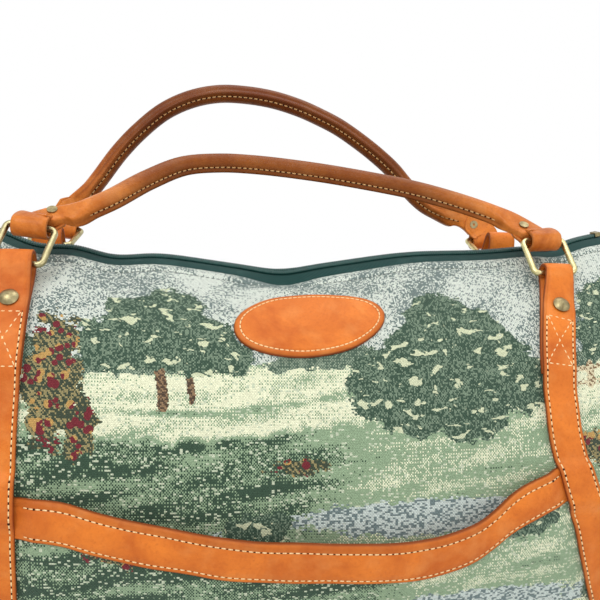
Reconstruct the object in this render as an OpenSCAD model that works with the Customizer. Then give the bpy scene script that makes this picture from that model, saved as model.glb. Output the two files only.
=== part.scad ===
// Tapestry travel bag with leather straps, rolled leather handles on brass rings, a top zip and an open
// front pocket. Millimetres, +Z up, front towards -Y, origin at the middle of the base's underside.

/* [Bag body] */
// Length of the bag between its end seams
bag_length = 504; // [470:2:530]
// Depth of the bag at its belly
bag_depth = 224; // [210:2:240]
// Depth of the flat base
base_depth = 190; // [176:2:198]
// Height of the zip line at the middle of the bag
zip_height = 247; // [240:1:256]
// Radius of the sagging zip line
zip_radius = 1000; // [900:10:1400]
// Height of the belly, where the bag is deepest
belly_height = 90; // [82:1:100]
// Share of its depth that the bag loses towards its ends
end_taper = 0.16; // [0.08:0.01:0.22]
// How far the end panels swell outwards
end_swell = 7; // [3:0.5:12]
// Thickness of the tapestry cloth with its lining
cloth_t = 3; // [2:0.5:3.5]

/* [Zip] */
// Width of the slot between the two panels that the zip closes
zip_slot = 24; // [22:1:28]
// Length of the zip's coil
coil_length = 440; // [400:5:450]
// Diameter of each row of coil
coil_d = 3; // [2.5:0.1:3.4]
// Height of the coil's axis above the zip line
coil_rise = 2.2; // [1.5:0.1:3]
// Thickness of the woven zip tape
tape_t = 0.8; // [0.6:0.1:1]
// Place of the slider along the bag
slider_x = -204; // [-206:2:-186]
// Length of the slider's body
slider_length = 13; // [10:0.5:16]
// Length of the slider's pull
pull_length = 24; // [18:1:30]

/* [Straps] */
// Distance between the centre lines of the two straps
strap_span = 338; // [324:2:350]
// Width of the strap leather
strap_w = 21.5; // [20:0.5:25]
// Thickness of the strap leather
strap_t = 2.6; // [2:0.1:3]
// Inward bow of the front right strap between the pocket and its eye
front_strap_bow = 12; // [0:1:13]
// Outward veer of the front right strap towards its foot
front_strap_veer = 24; // [0:1:26]
// Diameter of the rivets' caps
rivet_d = 10.6; // [8:0.2:12]

/* [Rings] */
// Diameter of the ring wire
wire_d = 4; // [3.2:0.1:4.2]
// Height of a ring between the axes of its two bars
ring_h = 27; // [25:0.5:32]
// Inward tilt of the left rings in their roomy leather eyes
left_ring_tilt = 11; // [4:1:12]
// Inward tilt of the right rings in their roomy leather eyes
right_ring_tilt = 4; // [2:1:12]
// Backward lean of the front rings
front_ring_lean = 45; // [30:1:48]
// Backward lean of the rear rings
rear_ring_lean = 72; // [64:1:76]

/* [Handles] */
// Diameter of the rolled leather
handle_d = 13.5; // [11:0.5:15]
// Inward slant of the front handle's left end, away from its ring
front_left_slant = 45; // [25:1:50]
// How far the front handle's left end draws its arch up
front_left_reach = 167; // [140:1:180]
// Inward slant of the front handle's right end
front_right_slant = 47; // [25:1:55]
// How far the front handle's right end draws its arch up
front_right_reach = 115; // [95:1:150]
// Inward slant of the rear handle's left end
rear_left_slant = 31; // [25:1:45]
// How far the rear handle's left end draws its arch up
rear_left_reach = 218; // [180:1:230]
// Inward slant of the rear handle's right end
rear_right_slant = 57; // [40:1:60]
// How far the rear handle's right end draws its arch up
rear_right_reach = 152; // [130:1:165]
// Thickness of one leaf of a tab
leaf_t = 2.4; // [2:0.1:2.8]
// Backward lean of the front handle
front_handle_lean = 57; // [45:1:62]
// Backward lean of the rear handle
rear_handle_lean = 8; // [0:1:25]

/* [Pocket] */
// Height of the pocket's edge at its middle
pocket_mid_z = 109; // [98:1:115]
// Height of the pocket's edge beside the straps
pocket_side_z = 138; // [125:1:145]
// Room between the bag and the middle of the pocket's edge
pocket_room = 9; // [8:0.5:12]
// Width of the leather band on the pocket's edge
band_w = 22; // [18:1:26]
// Thickness of the band leather
band_t = 1.8; // [1.4:0.1:2.2]

/* [Label] */
// Width of the oval leather patch
label_w = 94; // [80:1:104]
// Height of the oval leather patch, measured along the cloth
label_h = 42; // [36:1:46]
// Distance along the cloth from the zip line down to the middle of the patch
label_drop = 70; // [64:1:84]
// Thickness of the patch
label_t = 2.4; // [1.8:0.1:3]

/* [Hidden] */

$fn = 48;

// Gap left between pieces that are sewn or riveted together
seam = 0.4;
// Play of a tilted ring bar at the mouths of a leather eye
eye_play = 0.3;
// Radial play of a rivet in its hole
rivet_play = 0.05;

half_length = bag_length / 2;
strap_x = strap_span / 2;
zip_pivot_z = zip_height + zip_radius;

// The handles' flat tabs are as wide as the straps
tab_w = strap_w;

// Tilt of the rings on a side, -1 for left and 1 for right
function tilt_of(side) = side < 0 ? left_ring_tilt : right_ring_tilt;
most_tilt = max(left_ring_tilt, right_ring_tilt);
function ring_reach(tilt) = ring_h * cos(tilt);
// Distance between the two axes that a pair of rings turns on. Where the tilts differ, the bars lie a
// little off these axes.
mean_reach = (ring_reach(left_ring_tilt) + ring_reach(right_ring_tilt)) / 2;
bar_shift = abs(ring_reach(left_ring_tilt) - ring_reach(right_ring_tilt)) / 2;
// Bore that lets a side's tilted ring bars turn inside the eyes of its straps and tabs
function bore_r(side) =
    strap_w / 2 * tan(tilt_of(side)) + wire_d / 2 / cos(tilt_of(side)) + bar_shift + eye_play;
eye_r = max(bore_r(-1), bore_r(1));
// Room between a strap and each side of its ring, which a tilted ring takes up
ring_play = (eye_r + strap_t) * tan(most_tilt) + 0.5;

// Powers of the rounded cross-section above the belly
side_power = 1.7;
crown_power = 2.2;
// Power of the rounding towards the ends, seen from above
plan_power = 6;
// Share of the section's stations that lie below the belly
belly_t = 0.28;

tapestry_green = [0.42, 0.5, 0.42];
tan_leather = [0.78, 0.42, 0.16];
brass = [0.72, 0.6, 0.32];
zip_green = [0.05, 0.25, 0.24];

// Cross-section of the bag

function smooth(u) = let(c = min(1, max(0, u))) c * c * (3 - 2 * c);
function line_z(x) = zip_pivot_z - sqrt(zip_radius * zip_radius - x * x);
function plan_taper(x) = 1 - end_taper * pow(abs(x) / half_length, plan_power);

// Half depth and height of the section at x. t runs from 0 at the base to 1 at the zip slot, and out is
// the distance of the layer from the cloth's outer face.
function section(x, t, out = 0) =
    let(belly = bag_depth / 2 * plan_taper(x) + out, foot = base_depth / 2 * plan_taper(x) + out)
    t < belly_t
    ? let(s = t / belly_t) [foot + (belly - foot) * sin(90 * s), belly_height * s]
    : let(
        last = acos(pow(zip_slot / 2 / belly, side_power / 2)),
        a = last * (t - belly_t) / (1 - belly_t)
    ) [
        belly * pow(cos(a), 2 / side_power),
        belly_height + (line_z(x) + out - belly_height) * pow(sin(a), 2 / crown_power)
    ];

// Half depth of the section at x and height z
function depth_at(x, z, out = 0) =
    let(belly = bag_depth / 2 * plan_taper(x) + out, foot = base_depth / 2 * plan_taper(x) + out)
    z < belly_height
    ? foot + (belly - foot) * sin(90 * z / belly_height)
    : let(rise = (z - belly_height) / (line_z(x) + out - belly_height))
        belly * pow(1 - pow(rise, crown_power), 1 / side_power);

function front_point(x, t, out = 0) = let(p = section(x, t, out)) [x, -p[0], p[1]];
function unit(v) = v / norm(v);

// Outward normal of the front at x and t, as [y, z]
function front_normal(x, t) =
    let(d = 0.002, p = front_point(x, t - d), q = front_point(x, t + d), v = unit(q - p)) [-v[2], v[1]];

// Closed sheets and sweeps

// A sheet between two grids of points: nx columns from left to right, nt points up each column, both
// seen from outside.
module sheet(outer, inner, nx, nt) {
    n = nx * nt;
    faces = concat(
        [for (i = [0:nx - 2], j = [0:nt - 2])
            let(a = i * nt + j, b = a + nt) each [[a, a + 1, b + 1], [a, b + 1, b]]],
        [for (i = [0:nx - 2], j = [0:nt - 2])
            let(a = n + i * nt + j, b = a + nt) each [[a, b + 1, a + 1], [a, b, b + 1]]],
        [for (i = [0:nx - 2]) each rim(i * nt, (i + 1) * nt, n)],
        [for (i = [0:nx - 2]) each rim((i + 2) * nt - 1, (i + 1) * nt - 1, n)],
        [for (j = [0:nt - 2]) each rim(j + 1, j, n)],
        [for (j = [0:nt - 2]) each rim((nx - 1) * nt + j, (nx - 1) * nt + j + 1, n)]
    );
    polyhedron(concat(outer, inner), faces, convexity = 8);
}

function rim(a, b, n) = [[a, b, b + n], [a, b + n, a + n]];

// A solid swept through rings of points that all have the same count, capped at both ends
module sweep(rings) {
    m = len(rings[0]);
    last = (len(rings) - 1) * m;
    faces = concat(
        [[for (k = [0:m - 1]) m - 1 - k]],
        [[for (k = [0:m - 1]) last + k]],
        [for (i = [0:len(rings) - 2], k = [0:m - 1])
            let(a = i * m + k, b = i * m + (k + 1) % m) each [[a, b + m, a + m], [a, b, b + m]]]
    );
    polyhedron([for (r = rings) each r], faces, convexity = 8);
}

// Body panels

body_columns = 11;
body_xs = [for (i = [-body_columns:body_columns]) half_length * sin(90 * i / body_columns)];
body_rows = 18;
body_ts = [for (j = [0:body_rows]) j / body_rows];

module side_panel() {
    color(tapestry_green)
    sheet(
        [for (x = body_xs, t = body_ts) front_point(x, t)],
        [for (x = body_xs, t = body_ts) front_point(x, t, -cloth_t)],
        len(body_xs), len(body_ts)
    );
}

module front_panel() side_panel();
module rear_panel() mirror([0, 1, 0]) side_panel();

module base_panel() {
    inset = cloth_t + seam;
    edge = [for (x = body_xs) [x, base_depth / 2 * plan_taper(x) - inset]];
    color(tapestry_green)
    linear_extrude(cloth_t)
    polygon(concat(edge, [for (i = [len(edge) - 1:-1:0]) [edge[i][0], -edge[i][1]]]));
}

// The end panel closes the ends of both side panels and swells a little in its middle
module end_panel() {
    columns = 4;
    ws = [for (i = [-columns:columns]) i / columns];
    function swell(w, t) = end_swell * (1 - w * w) * sin(180 * t);
    function end_point(w, t, out) =
        let(p = section(half_length, t)) [half_length + seam + swell(w, t) + out, w * p[0], p[1]];
    color(tapestry_green)
    sheet(
        [for (w = ws, t = body_ts) end_point(w, t, cloth_t)],
        [for (w = ws, t = body_ts) end_point(w, t, 0)],
        len(ws), len(body_ts)
    );
}

module right_end_panel() end_panel();
module left_end_panel() mirror([1, 0, 0]) end_panel();

// Front pocket

pocket_half = strap_x - strap_w / 2 - seam;
pocket_foot_z = 6;
pocket_columns = 14;
pocket_xs = [for (i = [-pocket_columns:pocket_columns]) pocket_half * i / pocket_columns];
pocket_cloth_t = cloth_t * 0.7;
band_back_w = band_w * 0.4;
// Share of the pocket's half width over which its edge runs level
level_share = 0.34;

function pocket_edge_z(x) =
    let(share = (abs(x) / pocket_half - level_share) / (1 - level_share))
    pocket_mid_z + (pocket_side_z - pocket_mid_z) * smooth(share);

// Distance from the bag to the pocket cloth's inner face
function pocket_gap(x, z) =
    let(rise = (z - pocket_foot_z) / (pocket_edge_z(x) - pocket_foot_z), across = x / pocket_half)
    seam + smooth(rise) * (band_t + seam + pocket_room * (1 - across * across));

function pocket_point(x, z, out) = [x, -depth_at(x, z, pocket_gap(x, z) + out), z];

module pocket_panel() {
    rows = 8;
    edge_room = band_t + seam;
    function row_z(x, j) = pocket_foot_z + (pocket_edge_z(x) - edge_room - pocket_foot_z) * j / rows;
    color(tapestry_green)
    sheet(
        [for (x = pocket_xs, j = [0:rows]) pocket_point(x, row_z(x, j), pocket_cloth_t)],
        [for (x = pocket_xs, j = [0:rows]) pocket_point(x, row_z(x, j), 0)],
        len(pocket_xs), rows + 1
    );
}

// The band is one strip folded over the pocket's edge: a wide front leaf and a narrow rear leaf
module pocket_band() {
    slip = seam / 2;
    front_in = pocket_cloth_t + slip;
    function at(x, drop, out) = pocket_point(x, pocket_edge_z(x) - drop, out);
    color(tan_leather)
    sweep([for (x = pocket_xs) [
        at(x, band_w / 2, front_in), at(x, band_t + slip, front_in),
        at(x, band_t + slip, -slip), at(x, band_back_w, -slip),
        at(x, band_back_w, -slip - band_t), at(x, band_t, -slip - band_t),
        at(x, 0, -slip - band_t / 3), at(x, 0, front_in + band_t / 3),
        at(x, band_t, front_in + band_t), at(x, band_w / 2, front_in + band_t),
        at(x, band_w, front_in + band_t), at(x, band_w, front_in)
    ]]);
}

// Oval patch

// Path length down the cloth from the zip slot at the middle of the bag to station t
path_steps = 40;
function path_down(t) =
    let(ps = [for (i = [0:path_steps]) section(0, 1 - (1 - t) * i / path_steps)])
    zip_slot / 2 + [for (i = [1:path_steps]) norm(ps[i] - ps[i - 1])] * [for (i = [1:path_steps]) 1];

// Station that lies a given distance down the cloth, found by halving
function station_down(d, low = belly_t, high = 1, left = 24) =
    left == 0 ? (low + high) / 2
    : let(mid = (low + high) / 2, short = path_down(mid) > d)
        station_down(d, short ? mid : low, short ? high : mid, left - 1);

module label_patch() {
    spokes = 40;
    shoulder = label_t * 0.45;
    // Point of the patch at angle a and share r of its radius, on the layer out
    function at(a, r, out) = front_point(
        label_w / 2 * r * cos(a), station_down(label_drop - label_h / 2 * r * sin(a)), out
    );
    function ring(r, out) = [for (k = [spokes - 1:-1:0]) at(360 * k / spokes, r, out)];
    color(tan_leather)
    sweep([
        ring(0.35, seam), ring(0.75, seam), ring(1, seam),
        ring(1, seam + label_t - shoulder), ring(1 - 2 * shoulder / label_h, seam + label_t),
        ring(0.7, seam + label_t), ring(0.35, seam + label_t)
    ]);
}

// Straps

// Station of the section where a strap's flat part meets its eye
strap_top_row = 15;
// Station from which the folded tail lies behind the strap
tail_row = 11;
strap_first_row = 0.25;
strap_out = seam;
double_t = 2 * strap_t;

eye_out = seam + strap_t + eye_r;
eye_t = (strap_top_row + 0.35) / body_rows;
eye_normal = front_normal(strap_x, eye_t);
eye_base = front_point(strap_x, eye_t);
// Axis of a front strap's eye, as [y, z]
eye_at = [eye_base[1], eye_base[2]] + eye_out * eye_normal;

rivet_t = (strap_top_row - 1.4) / body_rows;
rivet_normal = front_normal(strap_x, rivet_t);
rivet_base = front_point(strap_x, rivet_t);
rivet_tilt = atan2(rivet_normal[1], -rivet_normal[0]);
rivet_shank_r = rivet_d * 0.2;

// Moves a shape from the rivet's own frame, where +Z points out of the strap, to a front right strap that has
// drifted sideways by dx there
module at_rivet(dx = 0)
    translate(rivet_base + [dx, 0, 0]) rotate([90 - rivet_tilt, 0, 0]) children();

// Sideways drift of a strap at station t: inwards between its eye and the pocket, outwards towards its foot
bow_length = 55;
function strap_drift(t, bow, veer) =
    let(
        z = section(strap_x, t)[1],
        below_eye = section(strap_x, strap_top_row / body_rows)[1] - z,
        above_pocket = z - pocket_side_z - 6
    )
    veer * smooth(1 - z / pocket_side_z)
    - bow * smooth(above_pocket / 35) * sin(90 * max(0, min(1, below_eye / bow_length)));
function rivet_drift(bow, veer) = strap_drift(rivet_t, bow, veer);

module strap_flat(first, last, bow = 0, veer = 0) {
    rows = [for (j = concat(first, [for (k = [floor(first) + 1:last]) k])) j / body_rows];
    edges = [for (i = [-2:2]) strap_x + strap_w * i / 4];
    function outer_of(t) = strap_out + (t > (tail_row - 0.5) / body_rows ? double_t : strap_t);
    sheet(
        [for (x = edges, t = rows) front_point(x + strap_drift(t, bow, veer), t, outer_of(t))],
        [for (x = edges, t = rows) front_point(x + strap_drift(t, bow, veer), t, strap_out)],
        len(edges), len(rows)
    );
}

module x_bar(r, w) rotate([0, 90, 0]) cylinder(r = r, h = w, center = true);

// The cloth under a strap's eye, with a little play: the eye is straight, and the bag's top slopes below it
module cloth_under_eye() {
    xs = [for (x = body_xs) if (abs(x - strap_x) < strap_w + half_length / 6) x];
    ts = [for (t = body_ts) if (t > (strap_top_row - 3.5) / body_rows) t];
    sheet(
        [for (x = xs, t = ts) front_point(x, t, seam / 3)],
        [for (x = xs, t = ts) front_point(x, t, -cloth_t)],
        len(xs), len(ts)
    );
}

module strap_eye(side)
    difference() {
        hull() {
            translate([strap_x, eye_at[0], eye_at[1]]) x_bar(bore_r(side) + strap_t, strap_w, $fn = 32);
            strap_flat(strap_top_row - 0.05, strap_top_row);
        }
        cloth_under_eye();
    }

// A front strap on the right, with an eye for the rings of the side given
module strap(side, bow = 0, veer = 0) {
    color(tan_leather)
    difference() {
        union() {
            strap_flat(strap_first_row, strap_top_row, bow, veer);
            strap_eye(side);
        }
        translate([strap_x, eye_at[0], eye_at[1]]) x_bar(bore_r(side), strap_w + 2);
        at_rivet(rivet_drift(bow, veer))
            cylinder(r = rivet_shank_r + rivet_play, h = 4 * double_t, center = true);
    }
}

module front_right_strap() strap(1, front_strap_bow, front_strap_veer);
module front_left_strap() mirror([1, 0, 0]) strap(-1);
module rear_right_strap() mirror([0, 1, 0]) strap(1);
module rear_left_strap() mirror([1, 0, 0]) mirror([0, 1, 0]) strap(-1);

// A domed cap on a short shank
module rivet(shank_h) {
    cap_h = rivet_d * 0.22;
    rim_h = rivet_d * 0.07;
    dome_r = (rivet_d * rivet_d / 4 + cap_h * cap_h) / (2 * cap_h);
    intersection() {
        cylinder(d = rivet_d, h = rim_h + cap_h + 1);
        translate([0, 0, rim_h + cap_h - dome_r]) sphere(r = dome_r, $fn = 64);
    }
    translate([0, 0, -shank_h]) cylinder(r = rivet_shank_r, h = shank_h + rim_h);
}

module strap_rivets() {
    seat = strap_out + double_t + seam / 2;
    color(brass)
    for (sx = [0, 1], sy = [0, 1]) {
        dx = sx + sy == 0 ? rivet_drift(front_strap_bow, front_strap_veer) : 0;
        mirror([sx, 0, 0]) mirror([0, sy, 0]) at_rivet(dx) translate([0, 0, seat]) rivet(double_t);
    }
}

// Zip

// Sweeps a 2-D profile along the zip line. In the profile x is the distance from the line's far centre
// and y is the depth in the bag.
module along_zip(length) {
    half_angle = asin(length / 2 / zip_radius);
    translate([0, 0, zip_pivot_z]) rotate([-90, 0, 0]) rotate([0, 0, 90 - half_angle])
        rotate_extrude(angle = 2 * half_angle, $fn = 360) children();
}

// Moves a shape from the zip line's middle to place x along the line
module on_zip(x)
    translate([0, 0, zip_pivot_z]) rotate([0, -asin(x / zip_radius), 0])
        translate([0, 0, -zip_radius]) children();

coil_r = coil_d / 2;
blade_t = 0.6;
coil_split = blade_t / 2 + 0.3;
coil_y = coil_split + coil_r;
// The tape runs from under the panel's edge up to the coil
tape_tuck = 4;
tape_length = bag_length - 8;

// Depth below the zip line of the panel's inner face at the ends, where it falls away fastest
function under_panel(y) =
    let(
        a = bag_depth / 2 * plan_taper(half_length) - cloth_t,
        b = line_z(half_length) - cloth_t - belly_height
    )
    cloth_t + b * (1 - pow(1 - pow(y / a, side_power), 1 / crown_power)) + seam;

module tape_profile() {
    hinge_y = zip_slot / 2 - 1.5;
    outer_y = zip_slot / 2 + tape_tuck;
    line = [
        [coil_split, coil_r - coil_rise],
        [hinge_y, under_panel(zip_slot / 2)],
        [outer_y, under_panel(outer_y)]
    ];
    polygon(concat(
        [for (p = line) [zip_radius + p[1], p[0]]],
        [for (i = [2:-1:0]) [zip_radius + line[i][1] + tape_t, line[i][0]]]
    ));
}

module zip_rear_tape() color(zip_green) along_zip(tape_length) tape_profile();
module zip_front_tape() mirror([0, 1, 0]) zip_rear_tape();

module zip_rear_coil() {
    color(zip_green)
    along_zip(coil_length) translate([zip_radius - coil_rise, coil_y + seam / 4])
        circle(r = coil_r - seam / 4);
}
module zip_front_coil() mirror([0, 1, 0]) zip_rear_coil();

module zip_end_stops() {
    stop_l = 4;
    stop_w = 2 * (coil_y + coil_r);
    color(brass)
    for (side = [-1, 1])
        on_zip(side * (coil_length / 2 + stop_l / 2 + seam)) translate([0, 0, coil_rise + coil_r * 0.55])
            cube([stop_l, stop_w, coil_d * 0.9], center = true);
}

// The slider is a cap over both coils, a blade between them and a keel under the tapes
slider_play = 0.35;
slider_wall = 1.2;
slider_in_w = coil_y + coil_r + slider_play;
slider_top = coil_rise + coil_r + slider_play;
slider_keel_z = coil_rise - coil_r - tape_t - 2.2;
pin_r = 0.75;
pin_play = 0.12;
pin_z = slider_top + slider_wall + pin_r + 0.9;
bridge_w = 2.4;

module slider_profile() {
    w = slider_in_w + slider_wall;
    skirt_z = coil_rise - coil_r * 0.3;
    inner_z = coil_rise - coil_r;
    difference() {
        translate([-w, skirt_z]) square([2 * w, slider_top + slider_wall - skirt_z]);
        translate([-slider_in_w, inner_z]) square([2 * slider_in_w, slider_top - inner_z]);
    }
    translate([-blade_t / 2, slider_keel_z]) square([blade_t, slider_top - slider_keel_z + 0.2]);
    translate([-2.4, slider_keel_z - slider_wall]) square([4.8, slider_wall]);
}

module zip_slider() {
    r = slider_length * 0.3;
    w = slider_in_w + slider_wall;
    bridge_z = slider_top + slider_wall - 0.2;
    color(brass)
    on_zip(slider_x) difference() {
        union() {
            intersection() {
                rotate([90, 0, 90]) linear_extrude(slider_length, center = true) slider_profile();
                linear_extrude(40, center = true) hull()
                    for (sx = [-1, 1], sy = [-1, 1])
                        translate([sx * (slider_length / 2 - r), sy * (w - r)]) circle(r = r);
            }
            translate([0, 0, bridge_z]) rotate([90, 0, 0])
                linear_extrude(bridge_w, center = true) union() {
                    translate([0, pin_z - bridge_z]) circle(r = pin_r + 1);
                    translate([-pin_r - 1, 0]) square([2 * pin_r + 2, pin_z - bridge_z]);
                }
        }
        translate([0, 0, pin_z]) rotate([90, 0, 0]) cylinder(r = pin_r + pin_play, h = 20, center = true);
    }
}

// A fork on a pin, with a flat round-ended tongue
module zip_pull() {
    pull_t = 1.5;
    fork_w = bridge_w + 3.2;
    fork_l = 5;
    tip_r = 4;
    color(brass)
    on_zip(slider_x) translate([0, 0, pin_z]) {
        rotate([90, 0, 0]) cylinder(r = pin_r, h = fork_w, center = true);
        translate([0, 0, -pull_t / 2]) linear_extrude(pull_t) difference() {
            union() {
                translate([-fork_l - 3, -fork_w / 2]) square([fork_l + 3 + pin_r, fork_w]);
                translate([-pull_length + tip_r, 0]) circle(r = tip_r);
                translate([-pull_length + tip_r, -fork_w / 2]) square([pull_length - tip_r - fork_l, fork_w]);
            }
            translate([-fork_l, -bridge_w / 2 - 0.3]) square([fork_l + 5, bridge_w + 0.6]);
            translate([-pull_length + tip_r, 0]) circle(r = 1.6);
        }
    }
}

// Rings

ring_w = strap_w + 2 * ring_play + wire_d;
ring_bend = wire_d * 0.9;

// One ring with its lower bar's axis on X and its upper bar above it
module ring() {
    wire_r = wire_d / 2;
    color(brass) {
        for (z = [0, ring_h]) translate([0, 0, z]) x_bar(wire_r, ring_w - 2 * ring_bend);
        for (side = [-1, 1])
            translate([side * ring_w / 2, 0, ring_bend]) cylinder(r = wire_r, h = ring_h - 2 * ring_bend);
        for (sx = [0, 1], sz = [0, 1])
            translate([0, 0, ring_h / 2]) mirror([sx, 0, 0]) mirror([0, 0, sz])
                translate([ring_w / 2 - ring_bend, 0, ring_h / 2 - ring_bend]) rotate([90, 0, 0])
                    rotate_extrude(angle = 90) translate([ring_bend, 0]) circle(r = wire_r);
    }
}

// Axes of the rings' lower bars and upper bars, as [y, z]
front_bar = eye_at;
rear_bar = [-eye_at[0], eye_at[1]];
front_top = front_bar + mean_reach * [sin(front_ring_lean), cos(front_ring_lean)];
rear_top = rear_bar + mean_reach * [sin(rear_ring_lean), cos(rear_ring_lean)];

// Place of a side's upper bars
function end_x(side) = side * (strap_x - ring_h * sin(tilt_of(side)));

module placed_ring(side, bar, lean)
    translate([side * strap_x, bar[0], bar[1]]) rotate([-lean, 0, 0])
        rotate([0, -side * tilt_of(side), 0]) ring();
module front_left_ring() placed_ring(-1, front_bar, front_ring_lean);
module front_right_ring() placed_ring(1, front_bar, front_ring_lean);
module rear_left_ring() placed_ring(-1, rear_bar, rear_ring_lean);
module rear_right_ring() placed_ring(1, rear_bar, rear_ring_lean);

// Handles

roll_r = eye_r + leaf_t;
// Distances from the ring bar at which the leather starts, begins to roll up and is fully round
tab_start = 3;
tab_flat = 9;
tab_round = 40;
arch_steps = 36;

// The arches, each as left slant, left reach, right slant and right reach
front_arch = [front_left_slant, front_left_reach, front_right_slant, front_right_reach];
rear_arch = [rear_left_slant, rear_left_reach, rear_right_slant, rear_right_reach];

function bezier(p, u) =
    pow(1 - u, 3) * p[0] + 3 * pow(1 - u, 2) * u * p[1] + 3 * (1 - u) * u * u * p[2] + pow(u, 3) * p[3];

// Centre line of a handle in its own plane, from the left ring bar to the right one
function handle_line(arch) =
    let(
        left = [end_x(-1), tab_start], right = [end_x(1), tab_start],
        left_pull = left + arch[1] * [sin(arch[0]), cos(arch[0])],
        right_pull = right + arch[3] * [-sin(arch[2]), cos(arch[2])]
    ) [for (i = [0:arch_steps]) bezier([left, left_pull, right_pull, right], i / arch_steps)];

// The leather is a flat tab along the ring bar that rolls into a tube: share rolled at height h
function roll(h) = smooth((h - tab_flat) / (tab_round - tab_flat));
function half_w(h) = tab_w / 2 + (handle_d / 2 - tab_w / 2) * roll(h);
function half_t(h) = leaf_t + (handle_d / 2 - leaf_t) * roll(h);

ring_points = 14;
module rolled_leather(arch) {
    line = handle_line(arch);
    count = len(line);
    function along(i) = unit(line[min(i + 1, count - 1)] - line[max(i - 1, 0)]);
    // Direction across the leather: along the ring bar at the tab, square to the line in the tube
    function across(i) = let(v = along(i), n = [v[1], -v[0]], bar = [i < count / 2 ? 1 : -1, 0])
        unit(bar + (n - bar) * smooth(line[i][1] / tab_round));
    function ring_at(i) = let(c = line[i], n = across(i), w = half_w(c[1]), d = half_t(c[1]))
        [for (k = [0:ring_points - 1]) let(
            a = 360 * (k + 0.5) / ring_points,
            squareness = 2 / (2 + 2 * (1 - roll(c[1]))),
            wide = w * sign(cos(a)) * pow(abs(cos(a)), squareness),
            deep = d * sign(sin(a)) * pow(abs(sin(a)), squareness)
        ) [c[0] + wide * n[0], -deep, c[1] + wide * n[1]]];
    sweep([for (i = [0:count - 1]) ring_at(i)]);
}

tab_rivet_at = 16;
tab_rivet_r = 1.6;
leaf_end = 25;
leaf_rise = leaf_t * 0.4;

// Largest slant at which a leaf folds back clear of its ring's corner
most_leaf_slant = 40;
function leaf_slant(arch, side) = min(most_leaf_slant, side < 0 ? arch[0] : arch[2]);

// Turns a shape from the ring bar's middle, with +Z along the leaf, to a handle's left or right end
module at_tab(arch, side)
    translate([end_x(side), 0, 0]) rotate([0, -side * leaf_slant(arch, side), 0]) children();

// The tab's end is folded back round the ring as a rounded leaf on the side given by face
module leaf(face) {
    thick = leaf_t + leaf_rise;
    translate([0, face * thick / 2, 0]) rotate([90, 0, 0]) linear_extrude(thick, center = true) hull() {
        translate([0, roll_r * 0.5]) square([tab_w * 0.7, 1], center = true);
        translate([0, leaf_end - tab_w * 0.3]) circle(d = tab_w * 0.6);
    }
}

module handle(arch, face) {
    color(tan_leather)
    difference() {
        union() {
            rolled_leather(arch);
            for (side = [-1, 1]) {
                translate([end_x(side), 0, 0]) x_bar(bore_r(side) + leaf_t, tab_w);
                at_tab(arch, side) leaf(face);
            }
        }
        for (side = [-1, 1]) {
            translate([end_x(side), 0, 0]) x_bar(bore_r(side), tab_w + 2);
            at_tab(arch, side) translate([0, 0, tab_rivet_at]) rotate([90, 0, 0])
                cylinder(r = tab_rivet_r + rivet_play, h = 8 * leaf_t, center = true);
        }
    }
}

// Flat-headed tubular rivets through both leaves of each tab
module handle_rivets(arch, face) {
    head_r = tab_rivet_r * 2;
    head_t = 0.9;
    // The tab has already begun to roll up at the rivet, so its plain side stands higher there
    leaf_face = half_t(tab_rivet_at) + leaf_rise;
    plain_face = half_t(tab_rivet_at) + seam;
    color(brass)
    for (side = [-1, 1])
        at_tab(arch, side) translate([0, 0, tab_rivet_at]) rotate([-90 * face, 0, 0]) difference() {
            union() {
                translate([0, 0, -plain_face]) cylinder(r = tab_rivet_r, h = plain_face + leaf_face);
                translate([0, 0, leaf_face]) cylinder(r = head_r, h = head_t);
                translate([0, 0, -plain_face - head_t]) cylinder(r = head_r, h = head_t);
            }
            translate([0, 0, leaf_face - 1]) cylinder(r = tab_rivet_r * 0.6, h = 4);
        }
}

module on_rings(top, lean) translate([0, top[0], top[1]]) rotate([-lean, 0, 0]) children();
module front_handle() on_rings(front_top, front_handle_lean) handle(front_arch, 1);
module rear_handle() on_rings(rear_top, rear_handle_lean) handle(rear_arch, -1);
module front_handle_rivets() on_rings(front_top, front_handle_lean) handle_rivets(front_arch, 1);
module rear_handle_rivets() on_rings(rear_top, rear_handle_lean) handle_rivets(rear_arch, -1);

front_panel();
rear_panel();
base_panel();
left_end_panel();
right_end_panel();
pocket_panel();
pocket_band();
label_patch();
front_left_strap();
front_right_strap();
rear_left_strap();
rear_right_strap();
strap_rivets();
zip_front_tape();
zip_rear_tape();
zip_front_coil();
zip_rear_coil();
zip_end_stops();
zip_slider();
zip_pull();
front_left_ring();
front_right_ring();
rear_left_ring();
rear_right_ring();
front_handle();
front_handle_rivets();
rear_handle();
rear_handle_rivets();
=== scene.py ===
# %% [markdown]
# # A tapestry travel bag
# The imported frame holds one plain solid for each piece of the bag, in metres. This lesson dresses it: every
# soft solid gives way to a modelled piece of cloth or leather, and the metal keeps its solids under a
# better finish. Sizes below are in millimetres, as a maker would note them, and become metres when a mesh
# is made.

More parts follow.
